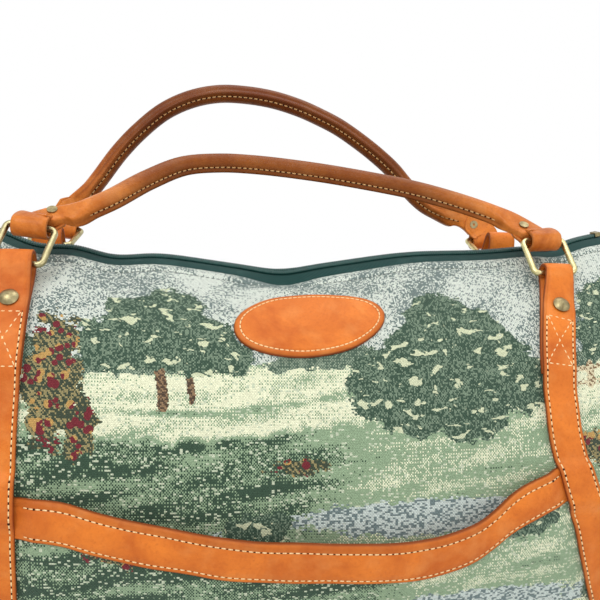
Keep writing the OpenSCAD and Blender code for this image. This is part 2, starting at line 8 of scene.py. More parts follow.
import bpy
import numpy as np
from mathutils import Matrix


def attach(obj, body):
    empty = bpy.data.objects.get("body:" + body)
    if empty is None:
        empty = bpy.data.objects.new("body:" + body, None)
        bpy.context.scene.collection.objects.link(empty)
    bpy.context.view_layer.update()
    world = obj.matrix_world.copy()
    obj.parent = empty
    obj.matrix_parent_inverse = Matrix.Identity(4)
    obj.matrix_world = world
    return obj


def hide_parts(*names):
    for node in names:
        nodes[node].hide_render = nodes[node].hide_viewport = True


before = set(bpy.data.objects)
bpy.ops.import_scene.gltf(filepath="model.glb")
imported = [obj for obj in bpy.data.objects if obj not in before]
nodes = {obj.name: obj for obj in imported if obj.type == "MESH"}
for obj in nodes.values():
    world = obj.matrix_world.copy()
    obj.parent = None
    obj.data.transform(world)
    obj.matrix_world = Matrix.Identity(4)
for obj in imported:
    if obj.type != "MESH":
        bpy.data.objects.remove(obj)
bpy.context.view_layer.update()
MM = 0.001

# %% [markdown]
# ## Camera
# The bag was photographed from close by, a little left of its middle and a little above its zip, with the
# camera slightly rolled. A camera could be placed by eye, but writing its three axes out keeps the roll
# exact: back points away from the view, right and up follow from it, and the roll turns those two about it.

# %% Place the camera
def camera_axes(yaw, rise, roll):
    """Right, up and back. Back is turned by yaw from -Y and lifted by rise; right is level; roll turns
    right and up."""
    yaw, rise, roll = np.radians([yaw, rise, roll])
    back = np.array([-np.sin(yaw) * np.cos(rise), -np.cos(yaw) * np.cos(rise), np.sin(rise)])
    level = np.cross([0.0, 0.0, 1.0], back)
    level /= np.linalg.norm(level)
    plumb = np.cross(back, level)
    right = np.cos(roll) * level + np.sin(roll) * plumb
    return right, np.cross(back, right), back


camera_turn = 8.93, 11.18, 2.53
camera_at = -65.5, -458.08, 314.57
camera = bpy.data.objects.new("camera", bpy.data.cameras.new("camera"))
bpy.context.scene.collection.objects.link(camera)
place = np.eye(4)
place[:3, 0], place[:3, 1], place[:3, 2] = camera_axes(*camera_turn)
place[:3, 3] = np.array(camera_at) * MM
camera.matrix_world = place.T
camera.data.sensor_width = 36.0
camera.data.lens = 40.8
camera.data.clip_start = 0.01
bpy.context.scene.camera = camera
print("camera at", np.round(place[:3, 3], 3).tolist(), "lens", camera.data.lens)

# %% [markdown]
# ## Node graphs in few words
# A finish is a graph of small nodes. Writing each node and link by hand is long, so this small helper makes
# a node, sets or links its inputs, and hands back its output. Numbers that are the same all over a surface
# are set on the shader's own sockets at the end.

# %% A helper for finishes
class Finish:
    """One node material. Every method adds a node and returns the socket that the next one reads."""

    def __init__(self, name):
        self.material = bpy.data.materials.new(name)
        self.material.use_nodes = True
        self.tree = self.material.node_tree
        self.tree.nodes.clear()
        self.out = self.tree.nodes.new("ShaderNodeOutputMaterial")

    def feed(self, socket, value):
        """Links a socket, or sets a plain value."""
        if isinstance(value, bpy.types.NodeSocket):
            self.tree.links.new(value, socket)
        else:
            socket.default_value = value

    def node(self, kind, output, *values, operation=None, **named):
        """Adds a node. Its inputs are fed in order, or by name with _ for a space."""
        n = self.tree.nodes.new("ShaderNode" + kind)
        if operation:
            n.operation = operation
        for socket, value in zip(n.inputs, values):
            self.feed(socket, value)
        for key, value in named.items():
            self.feed(n.inputs[key.replace("_", " ")], value)
        return n.outputs[output]

    def math(self, kind, a, b=0.0):
        """One step of arithmetic, named as the node names it."""
        return self.node("Math", 0, a, b, operation=kind)

    def plus(self, a, b):
        return self.math("ADD", a, b)

    def times(self, a, b):
        return self.math("MULTIPLY", a, b)

    def stretch(self, where, by):
        """A coordinate multiplied part by part."""
        return self.node("VectorMath", "Vector", where, by, operation="MULTIPLY")

    def field(self, name):
        """A number that was stored on the mesh."""
        n = self.tree.nodes.new("ShaderNodeAttribute")
        n.attribute_name = name
        return n.outputs["Fac"]

    def place(self, kind):
        """The surface's own coordinates, UV or Object."""
        return self.node("TexCoord", kind)

    def noise(self, where, scale, detail=3.0, rough=0.55, warp=0.0):
        """Soft clouds from 0 to 1."""
        return self.node("TexNoise", "Fac", Vector=where, Scale=scale, Detail=detail, Roughness=rough,
                         Distortion=warp)

    def cells(self, where, scale):
        """Distance to the nearest of many scattered points."""
        return self.node("TexVoronoi", "Distance", Vector=where, Scale=scale)

    def chance(self, where):
        """A random number from 0 to 1 that is the same wherever the coordinate is the same."""
        return self.node("TexWhiteNoise", "Value", Vector=where)

    def span(self, value, low, high, to_low=0.0, to_high=1.0):
        """Carries low..high to to_low..to_high, and stops at both ends."""
        return self.node("MapRange", "Result", value, low, high, to_low, to_high)

    def blend(self, share, a, b, kind="MIX"):
        """Colour a where share is 0 and colour b where it is 1."""
        n = self.tree.nodes.new("ShaderNodeMix")
        n.data_type, n.blend_type = "RGBA", kind
        for place, value in ((0, share), (6, a), (7, b)):
            self.feed(n.inputs[place], value)
        return n.outputs[2]

    def bump(self, height, depth, **after):
        """A normal tilted by a height, whose 1 is depth millimetres. after can give a Normal to tilt."""
        return self.node("Bump", "Normal", Height=height, Distance=depth * MM, **after)

    def surface(self, colour, rough, normal, **sockets):
        """The shader itself. Further sockets are named as the shader names them, with _ for a space."""
        shader = self.node("BsdfPrincipled", 0, Base_Color=colour, Roughness=rough, Normal=normal, **sockets)
        self.feed(self.out.inputs["Surface"], shader)
        return self.material


def tint(red, green, blue):
    """A colour as seen on a screen, 0 to 255, as the linear colour that a shader takes."""
    c = np.array([red, green, blue]) / 255.0
    line = np.where(c <= 0.04045, c / 12.92, ((c + 0.055) / 1.055) ** 2.4)
    return (*line.tolist(), 1.0)


print("a mid grey of 128 is", np.round(tint(128, 128, 128), 3).tolist())

# %% [markdown]
# ## Floor and light
# The bag stands on a plain pale floor under soft studio light. The floor near the bag is an ordinary pale
# surface, so that it takes the bag's shadow; further off the camera sees it as plain white, and so does
# polished metal.

# %% Floor, world and lamps
floor_near, floor_far = 0.45, 1.1
lamp_aim = 0.0, 0.0, 0.2


def pale_floor():
    """Pale diffuse floor that turns to plain white for the camera, and for mirrors, with distance from the
    bag: between floor_near and floor_far, in metres."""
    f = Finish("pale_floor")
    path = f.tree.nodes.new("ShaderNodeLightPath")
    seen = f.math("MAXIMUM", path.outputs["Is Camera Ray"],
                  f.math("MAXIMUM", path.outputs["Is Glossy Ray"], path.outputs["Is Transmission Ray"]))
    away = f.node("VectorMath", "Value", f.place("Object"), operation="LENGTH")
    share = f.times(seen, f.span(away, floor_near, floor_far))
    dull = f.node("BsdfDiffuse", 0, Color=(0.86, 0.86, 0.86, 1.0))
    f.feed(f.out.inputs["Surface"], f.node("MixShader", 0, share, dull, f.node("Emission", 0)))
    return f.material


floor_mesh = bpy.data.meshes.new("floor")
floor_mesh.from_pydata([(-9, -9, 0), (9, -9, 0), (9, 9, 0), (-9, 9, 0)], [], [(0, 1, 2, 3)])
floor_mesh.materials.append(pale_floor())
floor = bpy.data.objects.new("floor", floor_mesh)
bpy.context.scene.collection.objects.link(floor)

world = bpy.data.worlds.new("studio")
bpy.context.scene.world = world
world.use_nodes = True
sky_tree = world.node_tree
sky_path = sky_tree.nodes.new("ShaderNodeLightPath")
sky_seen = sky_tree.nodes.new("ShaderNodeMath")
sky_seen.operation = "MAXIMUM"
sky_tree.links.new(sky_path.outputs["Is Camera Ray"], sky_seen.inputs[0])
sky_tree.links.new(sky_path.outputs["Is Glossy Ray"], sky_seen.inputs[1])
sky_level = sky_tree.nodes.new("ShaderNodeMapRange")
sky_level.inputs["To Min"].default_value = 0.5
sky_tree.links.new(sky_seen.outputs[0], sky_level.inputs["Value"])
sky_back = sky_tree.nodes["Background"]
sky_back.inputs["Color"].default_value = (1.0, 1.0, 1.0, 1.0)
sky_tree.links.new(sky_level.outputs["Result"], sky_back.inputs["Strength"])


def soft_lamp(name, at, size, watts):
    """A square lamp at one point, turned towards lamp_aim."""
    lamp = bpy.data.lights.new(name, "AREA")
    lamp.size, lamp.energy = size, watts
    obj = bpy.data.objects.new(name, lamp)
    bpy.context.scene.collection.objects.link(obj)
    back = np.array(at) - np.array(lamp_aim)
    back /= np.linalg.norm(back)
    side = np.cross([0.0, 1.0, 0.2], back)
    side /= np.linalg.norm(side)
    turn = np.eye(4)
    turn[:3, 0], turn[:3, 1], turn[:3, 2], turn[:3, 3] = side, np.cross(back, side), back, at
    obj.matrix_world = turn.T


soft_lamp("key_lamp", (-0.7, -1.1, 1.6), 1.2, 19.0)
soft_lamp("top_lamp", (0.3, 0.2, 1.8), 1.5, 13.0)
soft_lamp("fill_lamp", (1.3, -1.3, 0.9), 1.2, 6.0)
bpy.context.scene.view_settings.view_transform = "Standard"

# %% [markdown]
# ## The shape of the bag
# A soft bag is a lofted shell: one cross-section, flat at the foot, full at the belly and rounded over to
# the zip, that changes a little along the length. The same function serves everything that lies on the
# cloth, so straps, patch and pocket sit on it wherever it swells or sags. It takes a place along the bag, a
# station from 0 at the base to 1 at the zip, and how far out from the cloth the layer lies.

# %% Cross-section of the bag
half_length = 252.0
bag_depth, base_depth = 224.0, 190.0
zip_height, zip_radius = 247.0, 1000.0
belly_height, belly_share = 90.0, 0.28
end_taper, side_power, crown_power = 0.16, 1.7, 2.2
slot_half, slump_start = 12.0, 0.72
strap_x, patch_x = 169.0, 4.5


def smooth(u):
    """Eases from 0 to 1 as 3u^2 - 2u^3, and stays there outside."""
    u = np.clip(u, 0.0, 1.0)
    return u * u * (3.0 - 2.0 * u)


def hump(x, middle, width):
    """A bell curve, 1 at its middle."""
    return np.exp(-(((x - middle) / width) ** 2))


def zip_line(x):
    """Height of the zip: the low part of a large circle."""
    return zip_height + zip_radius - np.sqrt(zip_radius**2 - x**2)


def slump(side, x):
    """How far the limp top edge hangs below that circle: dents near the straps and the middle, a swell
    right of it."""
    ends = -3.5 * hump(x, 186.0, 14.0)
    ends = ends - 6.0 * hump(x, -166.0, 20.0) - 5.5 * hump(x, -120.0, 22.0)
    if side == "front":
        return ends - 5.5 * hump(x, -12.0, 60.0) - 5.0 * hump(x, -8.0, 20.0) + 4.0 * hump(x, 85.0, 45.0)
    return ends - 3.5 * hump(x, -20.0, 45.0) + 5.0 * hump(x, 80.0, 55.0)


def narrowing(x):
    """Share of the full depth at x, which falls by end_taper towards the ends, as the sixth power."""
    return 1.0 - end_taper * np.abs(x / half_length) ** 6


def section(x, t, out):
    """Half depth and height at x. Below the belly the side leans out as a quarter sine; above it, the half
    depth is belly cos^(2/side_power) and the height climbs as sin^(2/crown_power) of one angle, up to the
    zip slot."""
    belly = bag_depth / 2 * narrowing(x) + out
    foot = base_depth / 2 * narrowing(x) + out
    s = np.clip(t / belly_share, 0.0, 1.0)
    last = np.arccos((slot_half / belly) ** (side_power / 2))
    a = last * np.clip((t - belly_share) / (1.0 - belly_share), 0.0, 1.0)
    low = t < belly_share
    depth = np.where(low, foot + (belly - foot) * np.sin(np.pi / 2 * s),
                     belly * np.cos(a) ** (2 / side_power))
    rise = (zip_line(x) + out - belly_height) * np.sin(a) ** (2 / crown_power)
    return depth, np.where(low, belly_height * s, belly_height + rise)


stations = np.linspace(0.0, 1.0, 1201)
spine = np.stack(section(np.zeros_like(stations), stations, 0.0), axis=-1)
spine_length = np.concatenate([[0.0], np.cumsum(np.linalg.norm(np.diff(spine, axis=0), axis=1))])
cloth_height = spine_length[-1]


def station_at(v):
    """Station that lies v millimetres up the cloth."""
    return np.interp(v, spine_length, stations)


def up_cloth(t):
    """Millimetres up the cloth of a station."""
    return np.interp(t, stations, spine_length)


print("cloth from base to zip", round(float(cloth_height), 1), "mm")

# %% [markdown]
# ## Folds and sags
# Empty cloth is never as smooth as its pattern. Simulation would give folds too, but the straps and the
# pocket are sewn down all round, so a few long waves and some pull lines below the rings, worked out as a
# sum of sines, give the look and let every layer follow the same folds. They die out where the rings and
# the zip are held.

# %% Folds of the cloth
def waves(x, v, seed, count, longest, shortest):
    """Sum of sines in random directions with wavelengths between longest and shortest, about -1 to 1."""
    dice = np.random.default_rng(seed)
    angle = dice.uniform(0, np.pi, count)
    number = 2 * np.pi / np.geomspace(longest, shortest, count)
    start = dice.uniform(0, 2 * np.pi, count)
    lean = (np.cos(angle), np.sin(angle))
    total = sum(np.sin(k * (c * x + s * v) + p) for k, c, s, p in zip(number, *lean, start))
    return total / np.sqrt(count)


def drape(side, x, t):
    """Folds in millimetres: long waves, fine waves, and lines that fan out from under each ring."""
    v = up_cloth(t)
    seed = 11 if side == "front" else 23
    fold = 1.3 * waves(x, v, seed, 6, 230.0, 85.0) + 0.28 * waves(x, v, seed + 1, 7, 48.0, 22.0)
    for sign in (-1.0, 1.0):
        down = cloth_height - 60.0 - v
        fan = np.arctan2(sign * strap_x - x, np.maximum(down, 1.0)) * sign
        fold = fold + 1.1 * np.sin(9.0 * fan) * hump(x, sign * strap_x, 70.0) * hump(down, 50.0, 45.0)
    fold = fold - 1.4 * hump(x, -8.0, 55.0) * hump(v, cloth_height - 22.0, 20.0)
    held = 1.0 - 0.95 * hump(np.abs(x), strap_x, 26.0) * smooth((t - 0.45) / 0.2)
    edges = smooth((1.0 - t) / 0.09) * smooth(t / 0.1) * smooth((half_length - np.abs(x)) / 18.0)
    return fold * held * edges


def skin(side, x, t, out=0.0):
    """Points of the layer that lies out from the cloth's face, on the front or the rear of the bag. The
    slump fades out down the cloth, sooner above the patch, whose stiff hide keeps the cloth flat."""
    x, t, out = np.broadcast_arrays(np.asarray(x, float), np.asarray(t, float), np.asarray(out, float))
    depth, height = section(x, t, out + drape(side, x, t))
    stiff = smooth((60.0 - np.abs(x - patch_x)) / 34.0) if side == "front" else 0.0
    start = slump_start + 0.16 * stiff
    height = height + slump(side, x) * smooth((t - start) / (1.0 - start))
    return np.stack([x, -depth if side == "front" else depth, height], axis=-1)


spread = np.meshgrid(np.linspace(-250, 250, 200), stations[::8])
print("folds reach", round(float(np.abs(drape("front", *spread)).max()), 2), "mm")

# %% [markdown]
# ## From arrays to pieces
# A grid of points is all that a surface needs: its faces follow from the grid's size. The helper below puts
# points, faces, cloth coordinates and stored fields into a mesh in one go, turns a closed piece right side
# out by the sign of its volume, and ties it to the body it moves with.

# %% Helpers for grids and pieces
def grid_faces(rows, columns, ring=False):
    """Quads of a grid stored row by row. ring joins the last column to the first."""
    i, j = np.meshgrid(np.arange(rows - 1), np.arange(columns if ring else columns - 1), indexing="ij")
    k = (j + 1) % columns
    return np.stack([i * columns + j, i * columns + k, (i + 1) * columns + k, (i + 1) * columns + j],
                    axis=-1).reshape(-1, 4)


def end_caps(rows, columns):
    """The two end faces of a tube whose grid is joined up as a ring."""
    return [np.arange(columns)[::-1], np.arange(columns) + (rows - 1) * columns]


def volume(points, faces):
    """Six times the signed volume below the quads, which is positive where they face outwards."""
    a, b, c, d = (points[faces[:, n]] for n in range(4))
    return float(np.sum(a * np.cross(b, c)) + np.sum(a * np.cross(c, d)))


def make_piece(name, points, faces, body, finish, uv=None, fields=None, hides=(), caps=(),
               closed=False):
    """Makes one piece from points in millimetres. caps are extra faces with any number of corners."""
    points = np.asarray(points, float).reshape(-1, 3)
    faces = np.asarray(faces)
    caps = [list(map(int, cap)) for cap in caps]
    if closed and volume(points - points.mean(axis=0), faces) < 0:
        faces = faces[:, ::-1]
        caps = [cap[::-1] for cap in caps]
    mesh = bpy.data.meshes.new(name)
    mesh.from_pydata((points * MM).tolist(), [], faces.tolist() + caps)
    if uv is not None:
        layer = mesh.uv_layers.new(name="cloth")
        layer.data.foreach_set("uv", np.asarray(uv, np.float32).reshape(-1, 2)[faces.ravel()].ravel())
    for key, values in (fields or {}).items():
        stored = mesh.attributes.new(key, "FLOAT", "POINT")
        stored.data.foreach_set("value", np.broadcast_to(values, points.shape[:1]).astype(np.float32))
    mesh.polygons.foreach_set("use_smooth", np.ones(len(mesh.polygons), bool))
    mesh.materials.append(finish)
    mesh.update()
    obj = bpy.data.objects.new(name, mesh)
    bpy.context.scene.collection.objects.link(obj)
    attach(obj, body)
    if hides:
        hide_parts(*hides)
    print(name, len(points), "points", len(mesh.polygons), "faces")
    return obj


def thicken(obj, thickness):
    """Gives a sheet its thickness, inwards from its face."""
    wall = obj.modifiers.new("thickness", "SOLIDIFY")
    wall.thickness = thickness * MM
    wall.offset = -1.0


def lengths(points):
    """Running length along a line of points."""
    return np.concatenate([[0.0], np.cumsum(np.linalg.norm(np.diff(points, axis=0), axis=1))])


def points_at(line, s, at):
    """The points of a line at the running lengths at, where s holds its own."""
    return np.stack([np.interp(at, s, c) for c in line.T], axis=-1)


def respace(points, count):
    """The same line with its points evenly spaced."""
    s = lengths(points)
    return points_at(points, s, np.linspace(0, s[-1], count))


def unit(v):
    return v / np.linalg.norm(v, axis=-1, keepdims=True)


def through(knots, count):
    """A smooth line through knots: each stretch is a cubic whose slope at a knot comes from its neighbours,
    spaced by the square root of the distances so that it doesn't loop."""
    knots = np.asarray(knots, float)
    gaps = np.sqrt(np.linalg.norm(np.diff(knots, axis=0), axis=1))
    at = np.concatenate([[0.0], np.cumsum(gaps)])
    slope = np.gradient(knots, at, axis=0)
    u = np.linspace(0, at[-1], count * 4)
    k = np.clip(np.searchsorted(at, u, side="right") - 1, 0, len(at) - 2)
    w = gaps[k][:, None]
    s = ((u - at[k]) / gaps[k])[:, None]
    line = ((1 + 2 * s) * (1 - s) ** 2 * knots[k] + s * (1 - s) ** 2 * w * slope[k]
            + s * s * (3 - 2 * s) * knots[k + 1] + s * s * (s - 1) * w * slope[k + 1])
    return respace(line, count)


print("helpers ready")

# %% [markdown]
# ## The woven picture
# Tapestry cloth carries a picture that the loom builds from a few coloured yarns. This one is a plain
# meadow scene: sky, woods, round trees, a brook, a rail fence and flowers. A painted picture would need an
# image, so each motif is a field instead: a number at every point of the cloth that says how far inside the
# motif that point is. The finish then picks a yarn for every crossing of the threads.

# %% Motifs as fields
def to_line(x, v, knots):
    """Distance from each point to a bent line."""
    best = np.full(x.shape, 1e9)
    for (ax, av), (bx, bv) in zip(knots[:-1], knots[1:]):
        along = np.clip(((x - ax) * (bx - ax) + (v - av) * (bv - av)) / ((bx - ax) ** 2 + (bv - av) ** 2),
                        0, 1)
        best = np.minimum(best, np.hypot(x - ax - along * (bx - ax), v - av - along * (bv - av)))
    return best


crowns = np.array([
    (-90, 226, 26), (-64, 220, 23), (-114, 217, 19), (-80, 242, 21), (-46, 212, 13), (-102, 238, 16),
    (50, 196, 27), (80, 206, 36), (112, 202, 29), (98, 182, 25), (64, 184, 22), (134, 192, 19),
    (86, 236, 22), (106, 226, 20), (208, 230, 30), (232, 220, 22), (188, 216, 17), (-212, 236, 27),
    (-234, 222, 22), (-196, 218, 16), (-20, 116, 10), (-36, 113, 12), (160, 120, 14), (176, 117, 11),
    (-196, 62, 15), (-176, 57, 11), (-64, 44, 13), (36, 66, 12), (52, 62, 9), (140, 40, 15), (216, 78, 13),
    (-120, 22, 12), (8, 14, 11),
])
trunks = [(-84, 180, 206, 3.0), (-68, 184, 204, 2.2), (206, 180, 206, 4.0), (-208, 184, 214, 4.0)]
brook_line = [(0, 118), (-60, 111), (-120, 104), (-260, 100)]
flower_beds = [
    (-143, 196, 15, 38), (-127, 172, 9, 18), (226, 150, 22, 12), (178, 152, 12, 9), (-6, 150, 13, 5),
    (-118, 72, 17, 9), (92, 44, 18, 8), (-8, 84, 14, 6), (190, 30, 20, 9), (-220, 24, 20, 8),
]


def upright(x, v, stems):
    """Distance inside the nearest upright stem, each with a slight wave."""
    return np.max([np.minimum(w - np.abs(x - tx - 1.5 * np.sin(v / 9)), np.minimum(v - low, high - v))
                   for tx, low, high, w in stems], axis=0)


def meadow_picture(x, v):
    """Fields of the picture at x, v in millimetres: each is positive inside its motif, in millimetres from
    its edge."""
    ragged = 2.2 * waves(x, v, 5, 6, 22.0, 8.0)
    streaks = waves(0.22 * x, 1.5 * v, 9, 6, 30.0, 9.0)
    leaf = np.max([r - np.hypot(x - cx, (v - cv) * 1.12) for cx, cv, r in crowns], axis=0) + ragged
    line = 190 + 0.05 * x + 2 * np.sin(x / 40)
    rails = np.maximum(1.6 - np.abs(v - line), 1.6 - np.abs(v - line + 8))
    posts = np.minimum(2.2 - np.abs((x + 200) % 26 - 13), 8.0 - np.abs(v - line + 4))
    fence = np.minimum(np.maximum(rails, posts), np.minimum(x - 150, 240 - x))
    pond = (1 - np.hypot((x - 72) / 80, (v - 119) / 10.5)) * 10.5
    brook = np.maximum(pond, 2.6 + np.sin(x / 31) - to_line(x, v, brook_line)) + 0.6 * ragged
    bloom = np.max([(1 - np.hypot((x - cx) / a, (v - cv) / b)) * min(a, b) for cx, cv, a, b in flower_beds],
                   axis=0) + ragged
    low_tone = 0.18 + 0.42 * smooth((x + 20) / 70) + 0.12 * smooth((128 - v) / 16)
    sunny = smooth((v - 168 - 7 * np.sin(x / 52) - ragged) / 7)
    tone = low_tone + (0.86 - low_tone) * sunny + (0.05 + 0.08 * smooth((v - 90) / 40)) * streaks
    tone = tone - 0.5 * hump(v, 186 + 0.06 * x + 3 * np.sin(x / 33), 1.2) * (x < 40)
    cloud = 0.62 + 0.2 * waves(x, 1.6 * v, 8, 5, 120.0, 40.0) - 0.16 * smooth((v - 250) / 40)
    sky = v - (206 + 4 * np.sin(x / 58 + 1)) + 0.5 * ragged
    fields = {
        "sky": sky,
        "woods": np.minimum(sky + 4, 7 + 6 * np.sin(x / 33) + 4 * np.sin(x / 14 + 1) - sky) + ragged,
        "leaf": leaf,
        "bark": np.maximum(upright(x, v, trunks), -6.0),
        "fence": np.maximum(fence, -6.0),
        "brook": brook,
        "bloom": bloom,
        "tone": np.where(sky > 0, cloud, tone),
    }
    return {motif: field.ravel() for motif, field in fields.items()}


probe = meadow_picture(*np.meshgrid(np.linspace(-250, 250, 300), np.linspace(100, 320, 200)))
print("share of the cloth in each motif and mean tone",
      {k: round(float(f.mean() if k == "tone" else (f > 0).mean()), 2) for k, f in probe.items()})

# %% [markdown]
# ## Tapestry finish
# Seen close, tapestry is a grid of crossings and each shows one yarn. The finish counts the crossings with
# the cloth's own coordinates. A regular count and a die thrown for each crossing together choose between
# two yarns of the motif, and the odds set the shade. The die also moves a motif's edge by a thread or two,
# which gives the stepped outline of woven work. A low bump follows the threads.

# %% Tapestry
LAY = 600.0
warp_pitch, weft_pitch = 0.8, 0.95


def tapestry_cloth():
    """Motif fields pick two or three yarns; a chequer or twill count and a die choose one at each crossing;
    threads give the bump."""
    f = Finish("tapestry")
    count = f.stretch(f.place("UV"), (LAY / warp_pitch, LAY / weft_pitch, 0.0))
    split = f.tree.nodes.new("ShaderNodeSeparateXYZ")
    f.feed(split.inputs[0], count)
    warp = f.math("FLOOR", split.outputs["X"])
    weft = f.math("FLOOR", split.outputs["Y"])

    def die(wide, high, layer):
        """A number from 0 to 1 for each group of crossings."""
        group = [f.math("FLOOR", f.math("DIVIDE", *pair)) for pair in ((warp, wide), (weft, high))]
        return f.chance(f.node("CombineXYZ", 0, *group, layer))

    def repeat(number, every):
        """Share of the way through a repeat of the weave."""
        return f.math("FRACT", f.math("DIVIDE", number, every))

    loose = die(2.0, 1.0, 1.0)
    diagonal = f.plus(warp, weft)
    chequer = f.plus(repeat(diagonal, 2.0), f.times(repeat(warp, 2.0), 0.5))
    turf = f.plus(f.times(chequer, 0.7), f.times(loose, 0.42))
    twill = f.plus(f.times(repeat(diagonal, 4.0), 0.5), f.times(loose, 0.56))
    speck = f.plus(f.times(chequer, 0.3), f.times(die(1.0, 1.0, 6.0), 0.78))
    step = f.times(f.math("SUBTRACT", die(2.0, 1.0, 2.0), 0.5), 2.6)
    patch = f.noise(f.place("UV"), 46.0, 3.0, 0.6)
    sway = f.times(f.math("SUBTRACT", patch, 0.5), 0.7)

    def inside(motif, soft):
        """1 where the field, moved by a thread or two, is inside its motif."""
        return f.math("GREATER_THAN", f.plus(f.field(motif), f.times(step, soft)), 0.0)

    def odds(share, by):
        """1 where the count or the die falls under the odds."""
        return f.math("LESS_THAN", by, f.plus(share, sway))

    tone = f.field("tone")
    twice = f.times(tone, 2.0)
    grass = f.blend(odds(twice, turf), tint(60, 84, 66), tint(150, 174, 140))
    grass = f.blend(odds(f.math("SUBTRACT", twice, 1.0), turf), grass, tint(240, 242, 208))
    grass = f.blend(f.math("GREATER_THAN", die(2.0, 1.0, 5.0), 0.91), grass, tint(206, 216, 188))
    sky = f.blend(odds(tone, speck), tint(116, 132, 128), tint(218, 225, 214))
    woods = f.blend(odds(0.4, turf), tint(82, 104, 88), tint(150, 166, 144))
    fringe = f.noise(f.stretch(f.place("UV"), (1.0, 1.6, 1.0)), 62.0, 2.5, 0.6, 0.4)
    lit = f.math("GREATER_THAN", f.plus(fringe, f.times(step, 0.012)), 0.605)
    crown = f.blend(odds(0.42, speck), tint(62, 86, 70), tint(122, 142, 120))
    crown = f.blend(lit, crown, tint(214, 220, 184))
    water = f.blend(odds(0.6, loose), tint(116, 134, 134), tint(206, 218, 212))
    trunk = f.blend(odds(0.45, twill), tint(86, 70, 56), tint(150, 122, 92))
    rail = f.blend(odds(0.6, twill), tint(132, 108, 78), tint(226, 214, 178))
    petals = f.math("LESS_THAN", f.plus(f.cells(f.place("UV"), 105.0), f.times(step, 0.03)), 0.42)
    flower = f.blend(f.math("GREATER_THAN", patch, 0.52), tint(122, 44, 52), tint(196, 156, 92))
    bed = f.blend(odds(0.4, twill), tint(66, 76, 60), tint(158, 146, 102))
    bed = f.blend(petals, bed, flower)

    colour = grass
    for motif, soft, yarns in (("brook", 1.0, water), ("sky", 0.6, sky), ("woods", 1.0, woods),
                               ("bark", 0.4, trunk), ("leaf", 1.0, crown), ("fence", 0.3, rail),
                               ("bloom", 1.0, bed)):
        colour = f.blend(inside(motif, soft), colour, yarns)
    # float_over lightens and darkens alternate crossings: painted shade of the thread relief. The die's part
    # of shade is random yarn tone.
    float_over = f.times(*(f.math("SINE", f.times(split.outputs[axis], np.pi)) for axis in "XY"))
    shade = f.plus(f.span(die(1.0, 1.0, 4.0), 0.0, 1.0, 0.87, 1.05), f.times(float_over, 0.22))
    colour = f.blend(1.0, colour, f.node("CombineColor", 0, shade, shade, shade), "MULTIPLY")
    ridge = f.plus(f.math("ABSOLUTE", float_over), f.times(float_over, 0.5))
    normal = f.bump(f.plus(ridge, f.times(loose, 0.5)), 0.26)
    return f.surface(colour, 0.92, normal, Specular_IOR_Level=0.2, Sheen_Weight=0.12, Sheen_Roughness=0.5)


tapestry = tapestry_cloth()
print("tapestry has", len(tapestry.node_tree.nodes), "nodes")

# %% [markdown]
# ## Front, rear, base and ends
# The two side panels run from the base to the zip and turn in there as a hem with one row of stitching
# under it. The ends close the shell and the base is flat. All five could be one mesh, but they are cut and
# sewn separately on the real bag, so each is a sheet of its own with its own piece of the picture.

# %% Side panels
cloth_thick, hem_zone, hem_row = 1.2, 18.0, 8.5


def lay_out(x, v):
    """Cloth coordinates for the finish, as shares of LAY."""
    return np.stack([x / LAY + 0.5, v / LAY], axis=-1)


def cloth_sheet(name, points, cut, picture, hide, thick, turned=False):
    """One sheet of tapestry from a grid of points. cut is its place on the woven cloth and picture its place
    in the picture, both as x and v. turned makes it face the other way."""
    faces = grid_faces(*points.shape[:2])
    obj = make_piece(name, points, faces[:, ::-1] if turned else faces, "bag", tapestry,
                     lay_out(*cut), meadow_picture(*picture), [hide])
    if thick:
        thicken(obj, thick)


def side_panel(side, picture_shift):
    """The side's skin on a grid: x across, then up the cloth, with closer rows at the hem, and the hem's
    edge rolled in."""
    v = np.concatenate([np.linspace(0, cloth_height - hem_zone, 96, endpoint=False),
                        np.linspace(cloth_height - hem_zone, cloth_height, 19)])
    x, v = np.meshgrid(np.linspace(-half_length, half_length, 169), v)
    below = cloth_height - v
    out = -0.9 * hump(below, hem_row, 1.2) + 0.5 * hump(below, 4.0, 3.0)
    points = skin(side, x, station_at(v), out)
    inward = 1.0 if side == "front" else -1.0
    if side == "rear":
        points[..., 2] += 3.2 * smooth((6.0 - below) / 6.0) * (hump(x, -128.0, 30.0) + hump(x, 122.0, 26.0))
    lip = np.array([(0.9, 0.1), (1.7, -0.5), (2.0, -1.8), (1.8, -5.0)])
    rolled = points[-1][None] + np.stack([np.zeros(4), inward * lip[:, 0], lip[:, 1]], axis=-1)[:, None]
    points = np.concatenate([points, rolled])
    x = np.concatenate([x, np.repeat(x[-1:], 4, axis=0)])
    v = np.concatenate([v, v[-1:] + np.array([1.0, 2.0, 3.5, 6.5])[:, None]])
    picture = (inward * x + picture_shift, np.minimum(v, cloth_height))
    cloth_sheet(side + "_cloth", points, (x, v), picture, side + "_panel", cloth_thick, side == "rear")


side_panel("front", 0.0)
side_panel("rear", 40.0)

# %% Ends and base
def end_panel(end, sign, seed):
    """Across the depth and up the section at the bag's end: swells by (1 - w^2) sin(pi t), with a few
    folds."""
    w, v = np.meshgrid(np.linspace(-1, 1, 61), np.linspace(0, cloth_height, 100))
    t = station_at(v)
    depth, height = section(np.full_like(t, half_length), t, 0.0)
    folds = 1.6 * waves(w * 100, v, seed, 6, 150.0, 50.0)
    swell = (7.0 + folds) * (1 - w * w) * np.sin(np.pi * np.clip(t, 0.03, 1))
    sag = 0.5 * (slump("front", sign * half_length) + slump("rear", sign * half_length))
    height = height + sag * smooth((t - slump_start) / (1 - slump_start))
    points = np.stack([sign * (half_length + swell), w * depth, height], axis=-1)
    cloth_sheet(end + "_cloth", points, (w * depth, v), (w * depth + 130 * sign, v), end + "_panel",
                cloth_thick, sign < 0)


